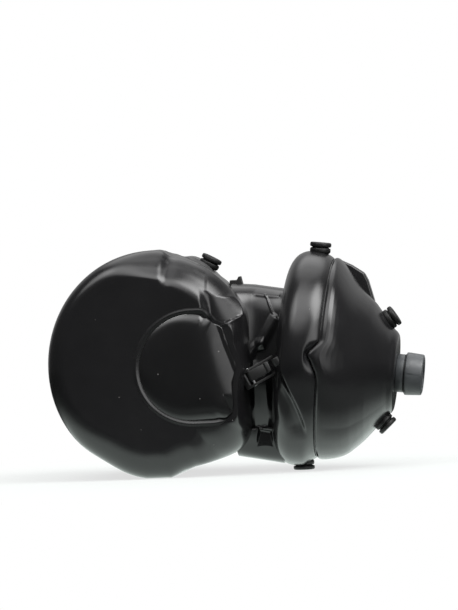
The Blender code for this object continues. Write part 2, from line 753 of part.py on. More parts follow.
def valve_seat():
    start, end = SEAT_START, SEAT_START + SEAT_THICKNESS
    head = start - GAP - FLAP_THICKNESS - FLAP_LIFT - GAP
    profile = [(head - VALVE_HEAD_THICKNESS, 0.0), (head - VALVE_HEAD_THICKNESS, VALVE_HEAD), (head, VALVE_HEAD),
               (head, VALVE_STEM), (start, VALVE_STEM), (start, BORE_RADIUS - GAP), (end, BORE_RADIUS - GAP),
               (end, 0.0)]
    made = solid("valve_seat", turned(profile, 20), shades["grey"], coupling_frame)
    holes = rods(circle_of(6, SEAT_HOLE_CIRCLE), SEAT_HOLE, start - 0.0005, end + 0.001, 8, "X")
    combine(made, helper("valve_seat_cutter", holes, coupling_frame))
    return made


def valve_flap():
    end = SEAT_START - GAP
    hole = VALVE_STEM + VALVE_STEM_PLAY
    profile = [(end - FLAP_THICKNESS, hole), (end - FLAP_THICKNESS, FLAP_RADIUS), (end, FLAP_RADIUS), (end, hole)]
    bm = turned(profile, 24)
    bmesh.ops.translate(bm, verts=bm.verts, vec=(-end, 0.0, 0.0))
    seat = frame("valve_flap_frame", (end, 0.0, 0.0))
    seat.parent = coupling_frame
    return solid("valve_flap", bm, shades["seal"], seat)


# Studs


def stud(name, shell, place, out, height, parent, pocket=False):
    lower, top = (height - STUD_GROOVE) / 2.0, height
    inner = STUD_RADIUS - STUD_GROOVE_DEPTH
    barb = -WALL - 0.0010
    profile = [(barb - STUD_BARB_LENGTH, 0.0), (barb - STUD_BARB_LENGTH, STUD_STEM - 0.001), (barb, STUD_BARB),
               (barb, STUD_STEM), (GAP, STUD_STEM), (GAP, STUD_RADIUS), (lower, STUD_RADIUS), (lower, inner),
               (lower + STUD_GROOVE, inner), (lower + STUD_GROOVE, STUD_RADIUS),
               (top - 0.0008, STUD_RADIUS), (top, STUD_RADIUS - 0.0012), (top, 0.0)]
    made = solid(name, turned(profile, STUD_STEPS), shades["rubber"], parent)
    made.location = place
    made.rotation_euler = Vector(out).to_track_quat("X", "Z").to_euler()
    holes = [helper(name + "_hole", rods([(0.0, 0.0)], STUD_STEM + GAP, -WALL - 0.006, 0.006, 12, "X"), parent)]
    if pocket:
        room = rods([(0.0, 0.0)], STUD_BARB + 0.001, -WALL - STUD_BARB_LENGTH - 0.010, -WALL, 12, "X")
        holes.append(helper(name + "_pocket", room, parent))
    for hole in holes:
        hole.location, hole.rotation_euler = made.location, made.rotation_euler
        combine(shell, hole)
    return made


def studs(rear_shell, rim, cone):
    angle = HOOD_STUD_ANGLE
    step = math.radians(2.0)
    near, far = at_hood(angle - step, hood_radius(angle - step), 0.0), at_hood(angle + step, hood_radius(angle + step), 0.0)
    out = Vector((near[2] - far[2], 0.0, far[0] - near[0])).normalized()
    stud("stud_hood", rear_shell, at_hood(angle, hood_radius(angle, lip(angle)), HOOD_STUD_Y), out, STUD_HEIGHT, None)
    stud("stud_rim_top", rim, (RIM_STUD_U, 0.0, RIM_RADIUS), (0.0, 0.0, 1.0), STUD_HEIGHT, chamber_frame, True)
    for name, along, side in (("stud_cone_top", CONE_STUD_U, 1.0), ("stud_cone_bottom", CONE_STUD_LOW_U, -1.0)):
        place = (along, 0.0, side * cone_line(along) - CONE_DROP)
        stud(name, cone, place, (cone_fall(along), 0.0, side), STUD_HEIGHT, chamber_frame)
    across, down = math.sin(CHAMBER_TILT), -math.cos(CHAMBER_TILT)
    along, low = FOOT_STUD_U, -rim_line(FOOT_STUD_U)
    height = CHAMBER_Z - along * across - low * down
    stud("stud_rim_foot", rim, (along, 0.0, low), (across, 0.0, down), height, chamber_frame, True)


# Side clips: side is -1 at the front and +1 at the rear


def clip_box(x0, x1, out0, out1, z0, z1, side):
    corners = [(x0, side * out0), (x1, side * out0), (x1, side * out1), (x0, side * out1)]
    return prism(corners, z0, z1, "Z")


def clip(place, side):
    face = HOOD_FRONT if side < 0 else HOOD_REAR
    origin = (FLANK_X + CLIP_STANDOFF, face - side * CLIP_INSET, CLIP_Z)
    hinge = frame("clip_" + place + "_hinge", origin, (0.0, -CLIP_SLOPE, 0.0))
    half = CLIP_WIDTH / 2.0
    slot = half + GAP
    ear = slot + EAR_THICKNESS
    hole = helper("clip_" + place + "_pin_hole", rods([(0.0, 0.0)], PIN_RADIUS + GAP, -0.02, 0.02, 12, "Z"), hinge)

    bracket = solid("clip_" + place + "_bracket", clip_box(-0.018, 0.0042, -0.008, EAR_HEIGHT, -ear, ear, side),
                    shades["trim"], hinge)
    combine(bracket, helper("clip_" + place + "_slot",
                            clip_box(-BARREL_RADIUS - 0.0011, 0.02, -0.02, 0.02, -slot, slot, side), hinge))
    combine(bracket, hole)
    combine(bracket, hood_cutter)

    solid("clip_" + place + "_pin", rods([(0.0, 0.0)], PIN_RADIUS, -ear - 0.0005, ear + 0.0005, 12, "Z"),
          shades["steel"], hinge)

    reach = (rim_face_x(origin[1], CLIP_Z) - origin[0]) / math.cos(CLIP_SLOPE) - CLIP_CLEAR
    under = -0.0002
    round_end = [(BARREL_RADIUS * math.cos(math.radians(turn)), BARREL_RADIUS * math.sin(math.radians(turn)))
                 for turn in (90, 120, 150, 180, 210, 240, 270, 300, 330)]
    outline = round_end + [(BARREL_RADIUS + 0.001, under), (reach - 0.0017, under), (reach - 0.0017, -LIP_DROP),
                           (reach - 0.0017 + LIP_THICKNESS, -LIP_DROP), (reach - 0.0017 + LIP_THICKNESS, 0.0016),
                           (reach - 0.0040, LEVER_THICKNESS - 0.0003), (reach * 0.5, LEVER_THICKNESS + 0.0004)]
    lever = solid("clip_" + place + "_lever", prism([(x, side * out) for x, out in outline], -half, half, "Z"),
                  shades["trim"], hinge)
    combine(lever, hole)

    nose_end = reach - 0.0017 - 2.0 * GAP
    nose, arm = under - GAP, -LIP_DROP - 2.0 * GAP
    corners = [(nose_end - NOSE_WIDTH, -0.0095), (reach + 0.016, -0.0095), (reach + 0.016, arm), (nose_end, arm),
               (nose_end, nose), (nose_end - NOSE_WIDTH, nose)]
    catch = solid("clip_" + place + "_catch", prism([(x, side * out) for x, out in corners], -half + 0.0008,
                                                   half - 0.0008, "Z"), shades["trim"], hinge)
    combine(catch, chamber_cutter)


def lanyard_cleat():
    middle = at_hood(CLEAT_ANGLE, hood_radius(CLEAT_ANGLE), 0.0)
    half, x, z = CLEAT_LENGTH / 2.0, middle[0], middle[2]
    outline = [(x - half, z - 0.004), (x + half * 1.3, z - 0.020), (x + half * 1.3, z - 0.006),
               (x + half * 0.5, z + CLEAT_BASE * 0.4), (x + half * 0.2, z + CLEAT_BASE + CLEAT_PRONG),
               (x - half * 0.15, z + CLEAT_BASE), (x - half, z + CLEAT_BASE)]
    made = solid("lanyard_cleat", prism(outline, -CLEAT_WIDTH / 2.0, CLEAT_WIDTH / 2.0, "Y"), shades["trim"])
    combine(made, hood_cutter)
    combine(made, boot_block())
    return made


def boot_block():
    left, right = FLANK_X, FLANK_X + WAIST_LENGTH
    rings = [boot_ring(x, -GAP) for x in (left - BOOT_BURY, left - 0.006, (left + right) / 2.0, right + BOOT_ENTRY)]
    return helper("boot_block", skin(rings, "capped"))


def cone_block():
    # The cone's outside, one gap larger, used to seat the harness lug
    places = [0.0, CONE_LENGTH * 0.16, CONE_LENGTH * 0.27, CONE_LENGTH * 0.38, CONE_LENGTH * 0.50, CONE_BEND]
    profile = [(-0.010, 0.0), (-0.010, RIM_RADIUS + GAP)]
    profile += [(along, cone_line(along) + GAP * 2.0) for along in places]
    profile.append((CONE_BEND, 0.0))
    bm = turned(profile, CHAMBER_STEPS)
    for vert in bm.verts:
        vert.co.z -= cone_drop(vert.co.x)
    return helper("cone_block", bm, chamber_frame)


def lug_edge(along, stand):
    return math.sqrt(cone_line(along) ** 2 - LUG_Y ** 2) - cone_drop(along) + stand


def harness_lug():
    start, end = LUG_START, LUG_END
    length = end - start
    outline = [(start, lug_edge(start, -0.015)), (start, lug_edge(start, 0.0005))]
    outline += [(start + length * share, lug_edge(start + length * share, LUG_STAND * rise))
                for share, rise in ((0.34, 0.49), (0.68, 1.0), (0.80, 0.87), (1.0, 0.23))]
    outline += [(end, lug_edge(end, -0.015))]
    half = LUG_THICKNESS / 2.0
    made = solid("harness_lug", prism(outline, LUG_Y - half, LUG_Y + half, "Y"), shades["hood"], chamber_frame)
    combine(made, cone_block())
    return made


clear_scene()
shades = {
    "hood": plain("black_shell", (0.012, 0.012, 0.013), 0.35),
    "visor": plain("dark_visor", (0.010, 0.010, 0.010), 0.22),
    "trim": plain("black_fitting", (0.014, 0.014, 0.014), 0.40),
    "rubber": plain("black_rubber", (0.016, 0.016, 0.016), 0.70),
    "seal": plain("seal_rubber", (0.011, 0.011, 0.012), 0.60),
    "grey": plain("grey_coupling", (0.070, 0.072, 0.078), 0.45),
    "filter": plain("filter_felt", (0.450, 0.440, 0.400), 0.95),
    "steel": plain("pin_steel", (0.400, 0.400, 0.410), 0.35),
    "helper": plain("helper", (0.800, 0.300, 0.100), 0.50),
}
chamber_frame = frame("chamber_frame", (CHAMBER_X, 0.0, CHAMBER_Z), (0.0, CHAMBER_TILT, 0.0))
coupling_frame = frame("coupling_frame", (0.0, 0.0, -CONE_DROP))
coupling_frame.parent = chamber_frame
air_way_cutter = air_way()
hood_cutter = hood_block()
chamber_cutter = chamber_block()

front_shell = hood_front_shell()
rear_shell = hood_rear_shell()
visor()
visor_seal()
neck_seal()
neck_seal_ring()
neck_boot()
rim = chamber_rim()
cone = chamber_cone()
chamber_gasket()
filter_stack()
spigot()
spigot_nut()
coupling_ring()
coupling_collar()
valve_seat()
valve_flap()
studs(rear_shell, rim, cone)
clip("front", -1.0)
clip("rear", 1.0)
lanyard_cleat()
harness_lug()
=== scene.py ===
import bpy, math
import numpy as np
from mathutils import Euler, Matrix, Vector


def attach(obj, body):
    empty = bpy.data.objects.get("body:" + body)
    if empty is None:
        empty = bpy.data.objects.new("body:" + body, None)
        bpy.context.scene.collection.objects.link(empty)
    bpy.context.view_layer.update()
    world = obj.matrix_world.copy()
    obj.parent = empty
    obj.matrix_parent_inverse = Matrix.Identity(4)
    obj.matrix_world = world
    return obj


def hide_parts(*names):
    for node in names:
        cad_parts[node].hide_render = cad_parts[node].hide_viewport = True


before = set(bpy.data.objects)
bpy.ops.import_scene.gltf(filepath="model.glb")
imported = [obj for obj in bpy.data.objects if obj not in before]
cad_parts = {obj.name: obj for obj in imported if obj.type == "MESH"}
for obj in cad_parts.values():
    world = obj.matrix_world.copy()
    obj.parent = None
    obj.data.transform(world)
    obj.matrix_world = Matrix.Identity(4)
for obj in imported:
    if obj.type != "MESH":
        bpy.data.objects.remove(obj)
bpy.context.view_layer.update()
mm = 0.001
print("frame loaded")


# small shaping tools

def ramp(value, start, end):
    share = np.clip((np.asarray(value, float) - start) / (end - start), 0.0, 1.0)
    return share * share * (3.0 - 2.0 * share)


def bell(value, middle, spread):
    return np.exp(-((value - middle) / spread) ** 2)


def soft(points, rounds=2):  # rounds off the corners of an open line
    line = np.array(points, float)
    for _ in range(rounds):
        near, far = line[:-1] * 0.75 + line[1:] * 0.25, line[:-1] * 0.25 + line[1:] * 0.75
        line = np.concatenate([line[:1], np.stack([near, far], 1).reshape(-1, line.shape[1])[1:-1],
                               line[-1:]])
    return line


def fromPath(x, z, path):  # distance to a drawn line, side of it (+1 left of its run), share along it
    best, side, share = np.full(x.shape, 9.0), np.zeros(x.shape), np.zeros(x.shape)
    path = np.array(path, float) * mm
    total, run = np.hypot(*(path[1:] - path[:-1]).T).sum(), 0.0
    for (x0, z0), (x1, z1) in zip(path[:-1], path[1:]):
        dx, dz = x1 - x0, z1 - z0
        length = math.hypot(dx, dz)
        t = np.clip(((x - x0) * dx + (z - z0) * dz) / length ** 2, 0.0, 1.0)
        px, pz = x - x0 - t * dx, z - z0 - t * dz
        away = np.hypot(px, pz)
        near = away < best
        side = np.where(near, np.sign(dx * pz - dz * px), side)
        share = np.where(near, (run + t * length) / total, share)
        best = np.where(near, away, best)
        run += length
    return best, side, share


def pick(piece):
    bpy.ops.object.select_all(action="DESELECT")
    piece.select_set(True)
    bpy.context.view_layer.objects.active = piece


def points(piece):
    flat = np.empty(len(piece.data.vertices) * 3)
    piece.data.vertices.foreach_get("co", flat)
    return flat.reshape(-1, 3)


def setPoints(piece, places):
    piece.data.vertices.foreach_set("co", np.asarray(places, float).ravel())
    piece.data.update()


def closeUp(piece):  # merges doubles and turns all faces outwards
    pick(piece)
    bpy.ops.object.mode_set(mode="EDIT")
    bpy.ops.mesh.select_all(action="SELECT")
    bpy.ops.mesh.remove_doubles(threshold=1e-6)
    bpy.ops.mesh.normals_make_consistent(inside=False)
    bpy.ops.object.mode_set(mode="OBJECT")


def rollSheet(name, rings):  # a flat grid rolled up: one row of points for each ring
    rings = np.array(rings)
    rows, around = rings.shape[0] - 1, rings.shape[1] - 1
    bpy.ops.object.select_all(action="DESELECT")
    bpy.ops.mesh.primitive_grid_add(x_subdivisions=around, y_subdivisions=rows, size=1.0)
    piece = bpy.context.object
    piece.name = piece.data.name = name
    flat = points(piece)
    column = np.rint((flat[:, 0] + 0.5) * around).astype(int)
    row = np.rint((flat[:, 1] + 0.5) * rows).astype(int)
    setPoints(piece, rings[row, column])
    closeUp(piece)
    return piece


def turnPiece(name, profile, steps):  # a closed outline of (along, radius), spun round the X axis
    bpy.ops.object.select_all(action="DESELECT")
    bpy.ops.mesh.primitive_circle_add(vertices=len(profile), radius=1.0)
    piece = bpy.context.object
    piece.name = piece.data.name = name
    setPoints(piece, [(along, 0.0, radius) for along, radius in profile])
    bpy.ops.object.mode_set(mode="EDIT")
    bpy.ops.mesh.select_all(action="SELECT")
    bpy.ops.mesh.spin(steps=steps, angle=math.tau, center=(0.0, 0.0, 0.0), axis=(1.0, 0.0, 0.0))
    bpy.ops.object.mode_set(mode="OBJECT")
    closeUp(piece)
    return piece


def cutPlate(name, outline, low, high):  # an outline in the XY plane, given thickness along Z
    bpy.ops.object.select_all(action="DESELECT")
    bpy.ops.mesh.primitive_circle_add(vertices=len(outline), radius=1.0, fill_type="NGON")
    piece = bpy.context.object
    piece.name = piece.data.name = name
    setPoints(piece, [(a, b, low) for a, b in outline])
    bpy.ops.object.mode_set(mode="EDIT")
    bpy.ops.mesh.select_all(action="SELECT")
    bpy.ops.mesh.extrude_region_move(TRANSFORM_OT_translate={"value": (0.0, 0.0, high - low)})
    bpy.ops.object.mode_set(mode="OBJECT")
    closeUp(piece)
    return piece


def roundEdges(piece, width, segments=3, angle=30.0):
    pick(piece)
    edge = piece.modifiers.new("edge", "BEVEL")
    edge.width, edge.segments = width, segments
    edge.limit_method, edge.angle_limit = "ANGLE", math.radians(angle)
    bpy.ops.object.modifier_apply(modifier=edge.name)


def smooth(piece, angle=32.0):
    pick(piece)
    bpy.ops.object.shade_smooth_by_angle(angle=math.radians(angle))


def join(name, pieces):
    pick(pieces[0])
    for piece in pieces[1:]:
        piece.select_set(True)
    bpy.ops.object.join()
    pieces[0].name = pieces[0].data.name = name
    return pieces[0]


def hand(piece, finish, body, slot, *nodes):  # finish, carrier and the nodes that this piece stands for
    piece.data.materials.clear()
    piece.data.materials.append(finish)
    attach(piece, body)
    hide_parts(*nodes)
    print(piece.name, len(piece.data.polygons), "faces")


# finishes

def newFinish(name, colour, roughness, specular=0.5, coat=0.0, coatRoughness=0.1):
    finish = bpy.data.materials.new(name)
    finish.use_nodes = True
    nodes, links = finish.node_tree.nodes, finish.node_tree.links
    shader = nodes["Principled BSDF"]
    shader.inputs["Base Color"].default_value = (*colour, 1.0)
    shader.inputs["Roughness"].default_value = roughness
    shader.inputs["Specular IOR Level"].default_value = specular
    shader.inputs["Coat Weight"].default_value = coat
    shader.inputs["Coat Roughness"].default_value = coatRoughness
    where = nodes.new("ShaderNodeTexCoord")
    return finish, nodes, links, shader, where.outputs["Object"]


def noise(nodes, links, where, scale, detail=4.0, rough=0.55, distortion=0.0):
    texture = nodes.new("ShaderNodeTexNoise")
    texture.inputs["Scale"].default_value = scale
    texture.inputs["Detail"].default_value = detail
    texture.inputs["Roughness"].default_value = rough
    texture.inputs["Distortion"].default_value = distortion
    links.new(where, texture.inputs["Vector"])
    return texture.outputs["Fac"]


def spread(nodes, links, value, low, high, toLow, toHigh):
    span = nodes.new("ShaderNodeMapRange")
    for socket, number in zip(("From Min", "From Max", "To Min", "To Max"), (low, high, toLow, toHigh)):
        span.inputs[socket].default_value = number
    links.new(value, span.inputs["Value"])
    return span.outputs["Result"]


def tint(nodes, links, value, dark, light, start=0.3, end=0.7):
    band = nodes.new("ShaderNodeValToRGB")
    band.color_ramp.elements[0].position, band.color_ramp.elements[0].color = start, (*dark, 1.0)
    band.color_ramp.elements[1].position, band.color_ramp.elements[1].color = end, (*light, 1.0)
    links.new(value, band.inputs["Fac"])
    return band.outputs["Color"]


def grain(nodes, links, shader, parts):  # several heights, laid on each other as bumps
    normal = None
    for height, strength, distance in parts:
        bump = nodes.new("ShaderNodeBump")
        bump.inputs["Strength"].default_value = strength
        bump.inputs["Distance"].default_value = distance
        links.new(height, bump.inputs["Height"])
        if normal:
            links.new(normal, bump.inputs["Normal"])
        normal = bump.outputs["Normal"]
    links.new(normal, shader.inputs["Normal"])


# a few grains of dust: small spots in a few of the cells
def specks(nodes, links, where, scale, size, share):
    cells = nodes.new("ShaderNodeTexVoronoi")
    cells.inputs["Scale"].default_value = scale
    links.new(where, cells.inputs["Vector"])
    chosen = nodes.new("ShaderNodeSeparateColor")
    links.new(cells.outputs["Color"], chosen.inputs["Color"])
    few = spread(nodes, links, chosen.outputs["Red"], 1.0 - share, 1.0 - share + 0.01, 0.0, 1.0)
    spot = spread(nodes, links, cells.outputs["Distance"], size * 0.6, size, 1.0, 0.0)
    both = nodes.new("ShaderNodeMath")
    both.operation = "MULTIPLY"
    links.new(few, both.inputs[0])
    links.new(spot, both.inputs[1])
    return both.outputs["Value"]


def mixColour(nodes, links, share, first, second):
    blend = nodes.new("ShaderNodeMix")
    blend.data_type = "RGBA"
    links.new(share, blend.inputs[0])
    links.new(first, blend.inputs[6])
    blend.inputs[7].default_value = (*second, 1.0)
    return blend.outputs[2]


def shellFinish(name, dark, light, low, high, dust=0.06, wave=0.10, specular=0.5, coat=0.0):
    finish, nodes, links, shader, where = newFinish(name, dark, low, specular, coat, 0.22)
    clouds = noise(nodes, links, where, 14.0, 5.0)
    scuff = noise(nodes, links, where, 60.0, 6.0, 0.6, 0.4)
    fine = noise(nodes, links, where, 1400.0, 2.0)
    slow = noise(nodes, links, where, 26.0, 2.0)
    colour = tint(nodes, links, clouds, dark, light)
    if dust:
        colour = mixColour(nodes, links, specks(nodes, links, where, 90.0, 0.075, dust), colour,
                           (0.16, 0.155, 0.15))
    links.new(colour, shader.inputs["Base Color"])
    links.new(spread(nodes, links, scuff, 0.25, 0.75, low, high), shader.inputs["Roughness"])
    grain(nodes, links, shader, [(slow, wave, 0.004), (fine, 0.03, 0.0002)])
    return finish


shellBlack = shellFinish("shellBlack", (0.0075, 0.0074, 0.0080), (0.0110, 0.0108, 0.0115),
                         0.18, 0.27, 0.06, 0.10)
visorBlack = shellFinish("visorBlack", (0.0062, 0.0062, 0.0065), (0.0088, 0.0088, 0.0092),
                         0.17, 0.25, 0.10, 0.06)
sealGloss = shellFinish("sealGloss", (0.0070, 0.0070, 0.0074), (0.0105, 0.0105, 0.0110),
                        0.22, 0.32, 0.0, 0.05)
fittingBlack = shellFinish("fittingBlack", (0.0060, 0.0060, 0.0060), (0.0110, 0.0110, 0.0110),
                           0.34, 0.48, 0.0, 0.05)


def rubberFinish(name, dark, light, rough):
    finish, nodes, links, shader, where = newFinish(name, dark, rough, 0.35)
    clouds = noise(nodes, links, where, 120.0, 5.0)
    fine = noise(nodes, links, where, 1800.0, 3.0)
    links.new(tint(nodes, links, clouds, dark, light), shader.inputs["Base Color"])
    links.new(spread(nodes, links, clouds, 0.3, 0.7, rough - 0.08, rough + 0.08), shader.inputs["Roughness"])
    grain(nodes, links, shader, [(clouds, 0.05, 0.0008), (fine, 0.12, 0.0002)])
    return finish


studRubber = rubberFinish("studRubber", (0.0050, 0.0050, 0.0050), (0.0095, 0.0095, 0.0095), 0.50)
sealRubber = rubberFinish("sealRubber", (0.0065, 0.0065, 0.007), (0.0095, 0.0095, 0.010), 0.30)
stretchRubber = rubberFinish("stretchRubber", (0.014, 0.014, 0.015), (0.022, 0.022, 0.023), 0.55)


def greyFinish():
    finish, nodes, links, shader, where = newFinish("couplingGrey", (0.10, 0.105, 0.11), 0.42)
    clouds = noise(nodes, links, where, 70.0, 5.0)
    fine = noise(nodes, links, where, 1500.0, 2.0)
    marks = noise(nodes, links, where, 260.0, 3.0)
    links.new(tint(nodes, links, clouds, (0.047, 0.051, 0.054), (0.067, 0.072, 0.076)),
              shader.inputs["Base Color"])
    links.new(spread(nodes, links, marks, 0.3, 0.7, 0.34, 0.50), shader.inputs["Roughness"])
    grain(nodes, links, shader, [(marks, 0.05, 0.0006), (fine, 0.08, 0.0002)])
    return finish


couplingGrey = greyFinish()


def feltFinish():
    finish, nodes, links, shader, where = newFinish("filterFelt", (0.55, 0.54, 0.49), 0.9, 0.2)
    fibres = noise(nodes, links, where, 420.0, 8.0, 0.7, 1.5)
    clouds = noise(nodes, links, where, 30.0, 3.0)
    links.new(tint(nodes, links, clouds, (0.50, 0.49, 0.44), (0.64, 0.63, 0.58)), shader.inputs["Base Color"])
    grain(nodes, links, shader, [(fibres, 0.5, 0.0008)])
    return finish


filterFelt = feltFinish()


def steelFinish():
    finish, nodes, links, shader, where = newFinish("pinSteel", (0.55, 0.55, 0.56), 0.3)
    shader.inputs["Metallic"].default_value = 1.0
    brush = noise(nodes, links, where, 900.0, 4.0)
    links.new(spread(nodes, links, brush, 0.3, 0.7, 0.22, 0.42), shader.inputs["Roughness"])
    links.new(tint(nodes, links, brush, (0.48, 0.48, 0.49), (0.60, 0.60, 0.61)), shader.inputs["Base Color"])
    grain(nodes, links, shader, [(brush, 0.06, 0.0002)])
    return finish


pinSteel = steelFinish()
print("finishes ready")


# hood: one oval with a flat right flank, seen from the front; turn is clockwise from the top

hood = {"x": -84.2 * mm, "z": 123.5 * mm, "halfWidth": 117.5 * mm, "halfHeight": 124.6 * mm,
        "flank": 103.5 * mm, "front": -100 * mm, "rear": 105 * mm, "seam": 15 * mm, "edge": 22 * mm,
        "drop": 5 * mm, "rearDraw": 8.5 * mm, "lowLeft": 3.2 * mm, "crownDip": 2.5 * mm,
        "shoulder": 32 * mm, "shoulderDeep": 35 * mm, "bottomWide": 10 * mm, "bottomDeep": 9 * mm,
        "chamfer": 13 * mm, "chamferDeep": 40 * mm, "wall": 3 * mm, "gap": 0.3 * mm,
        "chinSlope": 0.229, "chinReach": 121.3 * mm, "chinWide": 24 * mm, "chinDeep": 30 * mm,
        "leftLip": 2.5 * mm, "crownLip": 3.5 * mm, "around": 720}
turns = np.linspace(0.0, 360.0, hood["around"] + 1)


def chinShare(turn, end=158.0):
    return ramp(turn, 106.0, 128.0) * (1.0 - ramp(turn, end, end + 12.0))


def hoodRadius(turn, grow=0.0):
    side, up = np.sin(np.radians(turn)), np.cos(np.radians(turn))
    wide, tall = hood["halfWidth"] + grow, hood["halfHeight"] + grow
    radius = wide * tall / np.hypot(tall * side, wide * up)
    radius = radius - hood["drop"] * ramp(turn, 5.0, 13.0) * (1.0 - ramp(turn, 166.0, 177.0))
    flank = (hood["flank"] + grow) / np.maximum(side, 0.05)
    radius = np.where(side > 0.05, (radius ** -14 + flank ** -14) ** (-1.0 / 14.0), radius)
    floor = (hood["z"] + min(grow, 0.0)) / np.maximum(-up, 0.5)
    radius = np.where(up < -0.5, np.minimum(radius, floor), radius)
    # fuller corner where the hood runs into the waist
    chin = (hood["chinReach"] + grow) / np.maximum(hood["chinSlope"] * side - up, 0.3)
    chin = (chin ** -7 + flank ** -7) ** (-1.0 / 7.0)
    radius = radius - hood["lowLeft"] * bell(turn, 210.0, 13.0)  # the lower left is rounder
    return radius + np.maximum(chin - radius, 0.0) * chinShare(turn) + 3 * mm * bell(turn, 63.0, 9.0)


def hoodRing(radius, y):
    side, up = np.sin(np.radians(turns)), np.cos(np.radians(turns))
    ring = np.stack([hood["x"] + radius * side, y + 0.0 * turns, hood["z"] + radius * up], 1)
    ring[-1] = ring[0]
    return ring


def flankShare(turn):
    return ramp(turn, 50.0, 73.0) * (1.0 - ramp(turn, 118.0, 142.0))


def crownDip(turn):  # shallow dip of the outline just before the crown's lip
    return hood["crownDip"] * bell(turn, 9.0, 3.4)


def crownLip(turn):
    return hood["crownLip"] * ramp(turn, 12.0, 20.0) * (1.0 - ramp(turn, 24.0, 34.0))


def rearFall(turn, y):  # the upper right draws in towards the rear
    around = (turn + 180.0) % 360.0 - 180.0
    early = hood["drop"] * (ramp(around, -5.0, 4.0) - ramp(around, 5.0, 13.0)) * ramp(y, -30 * mm, 20 * mm)
    return (hood["rearDraw"] * ramp(turn, 12.0, 26.0) * (1.0 - ramp(turn, 50.0, 62.0))
            * np.clip((y + 40 * mm) / (123 * mm), 0.0, 1.0) + np.maximum(early, 0.0))


def leftLip(turn):
    return hood["leftLip"] * ramp(turn, 215.0, 262.0) * (1.0 - ramp(turn, 322.0, 345.0))


# window outline: a half round on the left, and the corners of its right end

window = {"x": -40.9, "z": 118.7, "radius": 58.8, "lowRadius": 56.6, "rise": 7.2 * mm, "leftRise": 3.0 * mm,
          "round": 6 * mm, "groove": 0.6 * mm,
          "corners": [(-41, 177.5), (-29.5, 177.3), (-24.6, 171.0), (-20.2, 165.4), (-14.8, 162.4),
                      (-10.0, 160.4),
                      (-7.3, 148.8), (-2.4, 134.8), (2.6, 121.2), (1.0, 112.0), (-2.2, 102.0), (-2.2, 89.0),
                      (-1.6, 78.4), (-3.3, 69.8), (-8.2, 64.2), (-20.0, 62.2), (-41, 62.1)],
          "slantLine": [(-34.8, 178.0), (-34.8, 169.3), (-30.0, 152.6), (-25.2, 135.9), (-19.1, 119.1),
                        (-12.9, 100.9), (-9, 90)],
          "slant": 0.32}


def windowTable():
    arc = [(window["x"] + window["radius"] * math.cos(math.radians(a)),
            window["z"] + window["radius" if a < 180 else "lowRadius"] * math.sin(math.radians(a)))
           for a in range(268, 90, -4)]
    line = np.array(window["corners"] + arc + window["corners"][:1]) * mm
    dense = np.concatenate([line[:-1] + (line[1:] - line[:-1]) * k / 12.0 for k in range(12)])
    turn = np.degrees(np.arctan2(dense[:, 0] - hood["x"], dense[:, 1] - hood["z"])) % 360.0
    reach = np.hypot(dense[:, 0] - hood["x"], dense[:, 1] - hood["z"])
    order = np.argsort(turn)
    fine = np.arange(0.0, 360.0, 0.25)
    radius = np.interp(fine, turn[order], reach[order], period=360.0)
    kernel = bell(np.arange(-20, 21), 0.0, 6.0)
    radius = np.convolve(np.concatenate([radius[-20:], radius, radius[:20]]), kernel / kernel.sum(), "valid")
    return fine, radius


windowTurn, windowReach = windowTable()
# where the groove and bead run: all but the right end
ringShare = 1.0 - ramp(turns, 46.0, 56.0) * (1.0 - ramp(turns, 122.0, 132.0))


def windowRing(grow, y):
    radius = np.interp(turns, windowTurn, windowReach, period=360.0)
    ring = hoodRing(radius, y)
    run = np.roll(ring[:-1], -2, 0) - np.roll(ring[:-1], 2, 0)
    out = np.stack([-run[:, 2], 0.0 * run[:, 0], run[:, 0]], 1)
    out /= np.linalg.norm(out, axis=1, keepdims=True)
    out = np.concatenate([out, out[:1]])
    return ring + grow * out


# front shell: side wall, edge, face, the window's cut-out and the inner wall

face = {"terraceLeft": [(163, -20.0), (167.3, -21.2), (185.2, -22.6), (204.5, -23.7), (221.2, -25.7)],
        "terraceRight": [(170, 18.5), (176.7, 14.3), (186.6, 7.8), (205.0, -5.2), (222.2, -21.1)],
        "plateau": [(-130, 213), (-112, 220), (-95.7, 221.5), (-71, 217.8), (-51.6, 214.4), (-35.5, 205.1),
                    (-27.6, 195.1), (-23.9, 185.3), (-21.5, 170)],
        "plateauDrop": 1.5 * mm, "step": [(-18.8, 163.6), (-10.5, 164.1), (3.6, 169.8), (17.7, 175.8)],
        "dent": (-67.0, 231.0), "knob": (16.6, 175.4)}
plateauLine = soft(face["plateau"], 2)


def frontEdge(turn):
    around = (turn + 180.0) % 360.0 - 180.0
    wide = (hood["edge"] + (hood["shoulder"] - hood["edge"]) * ramp(around, -28.0, 8.0)
            * (1.0 - ramp(around, 80.0, 130.0)))
    share = flankShare(turn)
    crown = ramp(around, -30.0, 4.0) * (1.0 - ramp(around, 46.0, 62.0))
    wide = wide + (hood["chamfer"] - wide) * share - 7 * mm * bell(around, -48.0, 24.0)
    deep = hood["edge"] + (hood["shoulderDeep"] - hood["edge"]) * crown
    deep = deep + (hood["chamferDeep"] - deep) * share
    chin, bottom = chinShare(turn, 146.0), ramp(turn, 138.0, 165.0) * (1.0 - ramp(turn, 208.0, 256.0))
    wide = wide + hood["chinWide"] * chin + hood["bottomWide"] * bottom * (1.0 - chin)
    deep = deep + hood["chinDeep"] * chin * (1.0 - share * 0.6) + hood["bottomDeep"] * bottom * (1.0 - chin)
    rim = windowRing(7.5 * mm, 0.0)
    reach = np.hypot(rim[:, 0] - hood["x"], rim[:, 2] - hood["z"])
    limit = hoodRadius(turn) - reach - 2 * mm
    wide = np.minimum(wide, np.maximum(limit, 4 * mm))
    return wide, deep, 2.0 - 0.75 * share - 0.62 * crown * (1.0 - share)


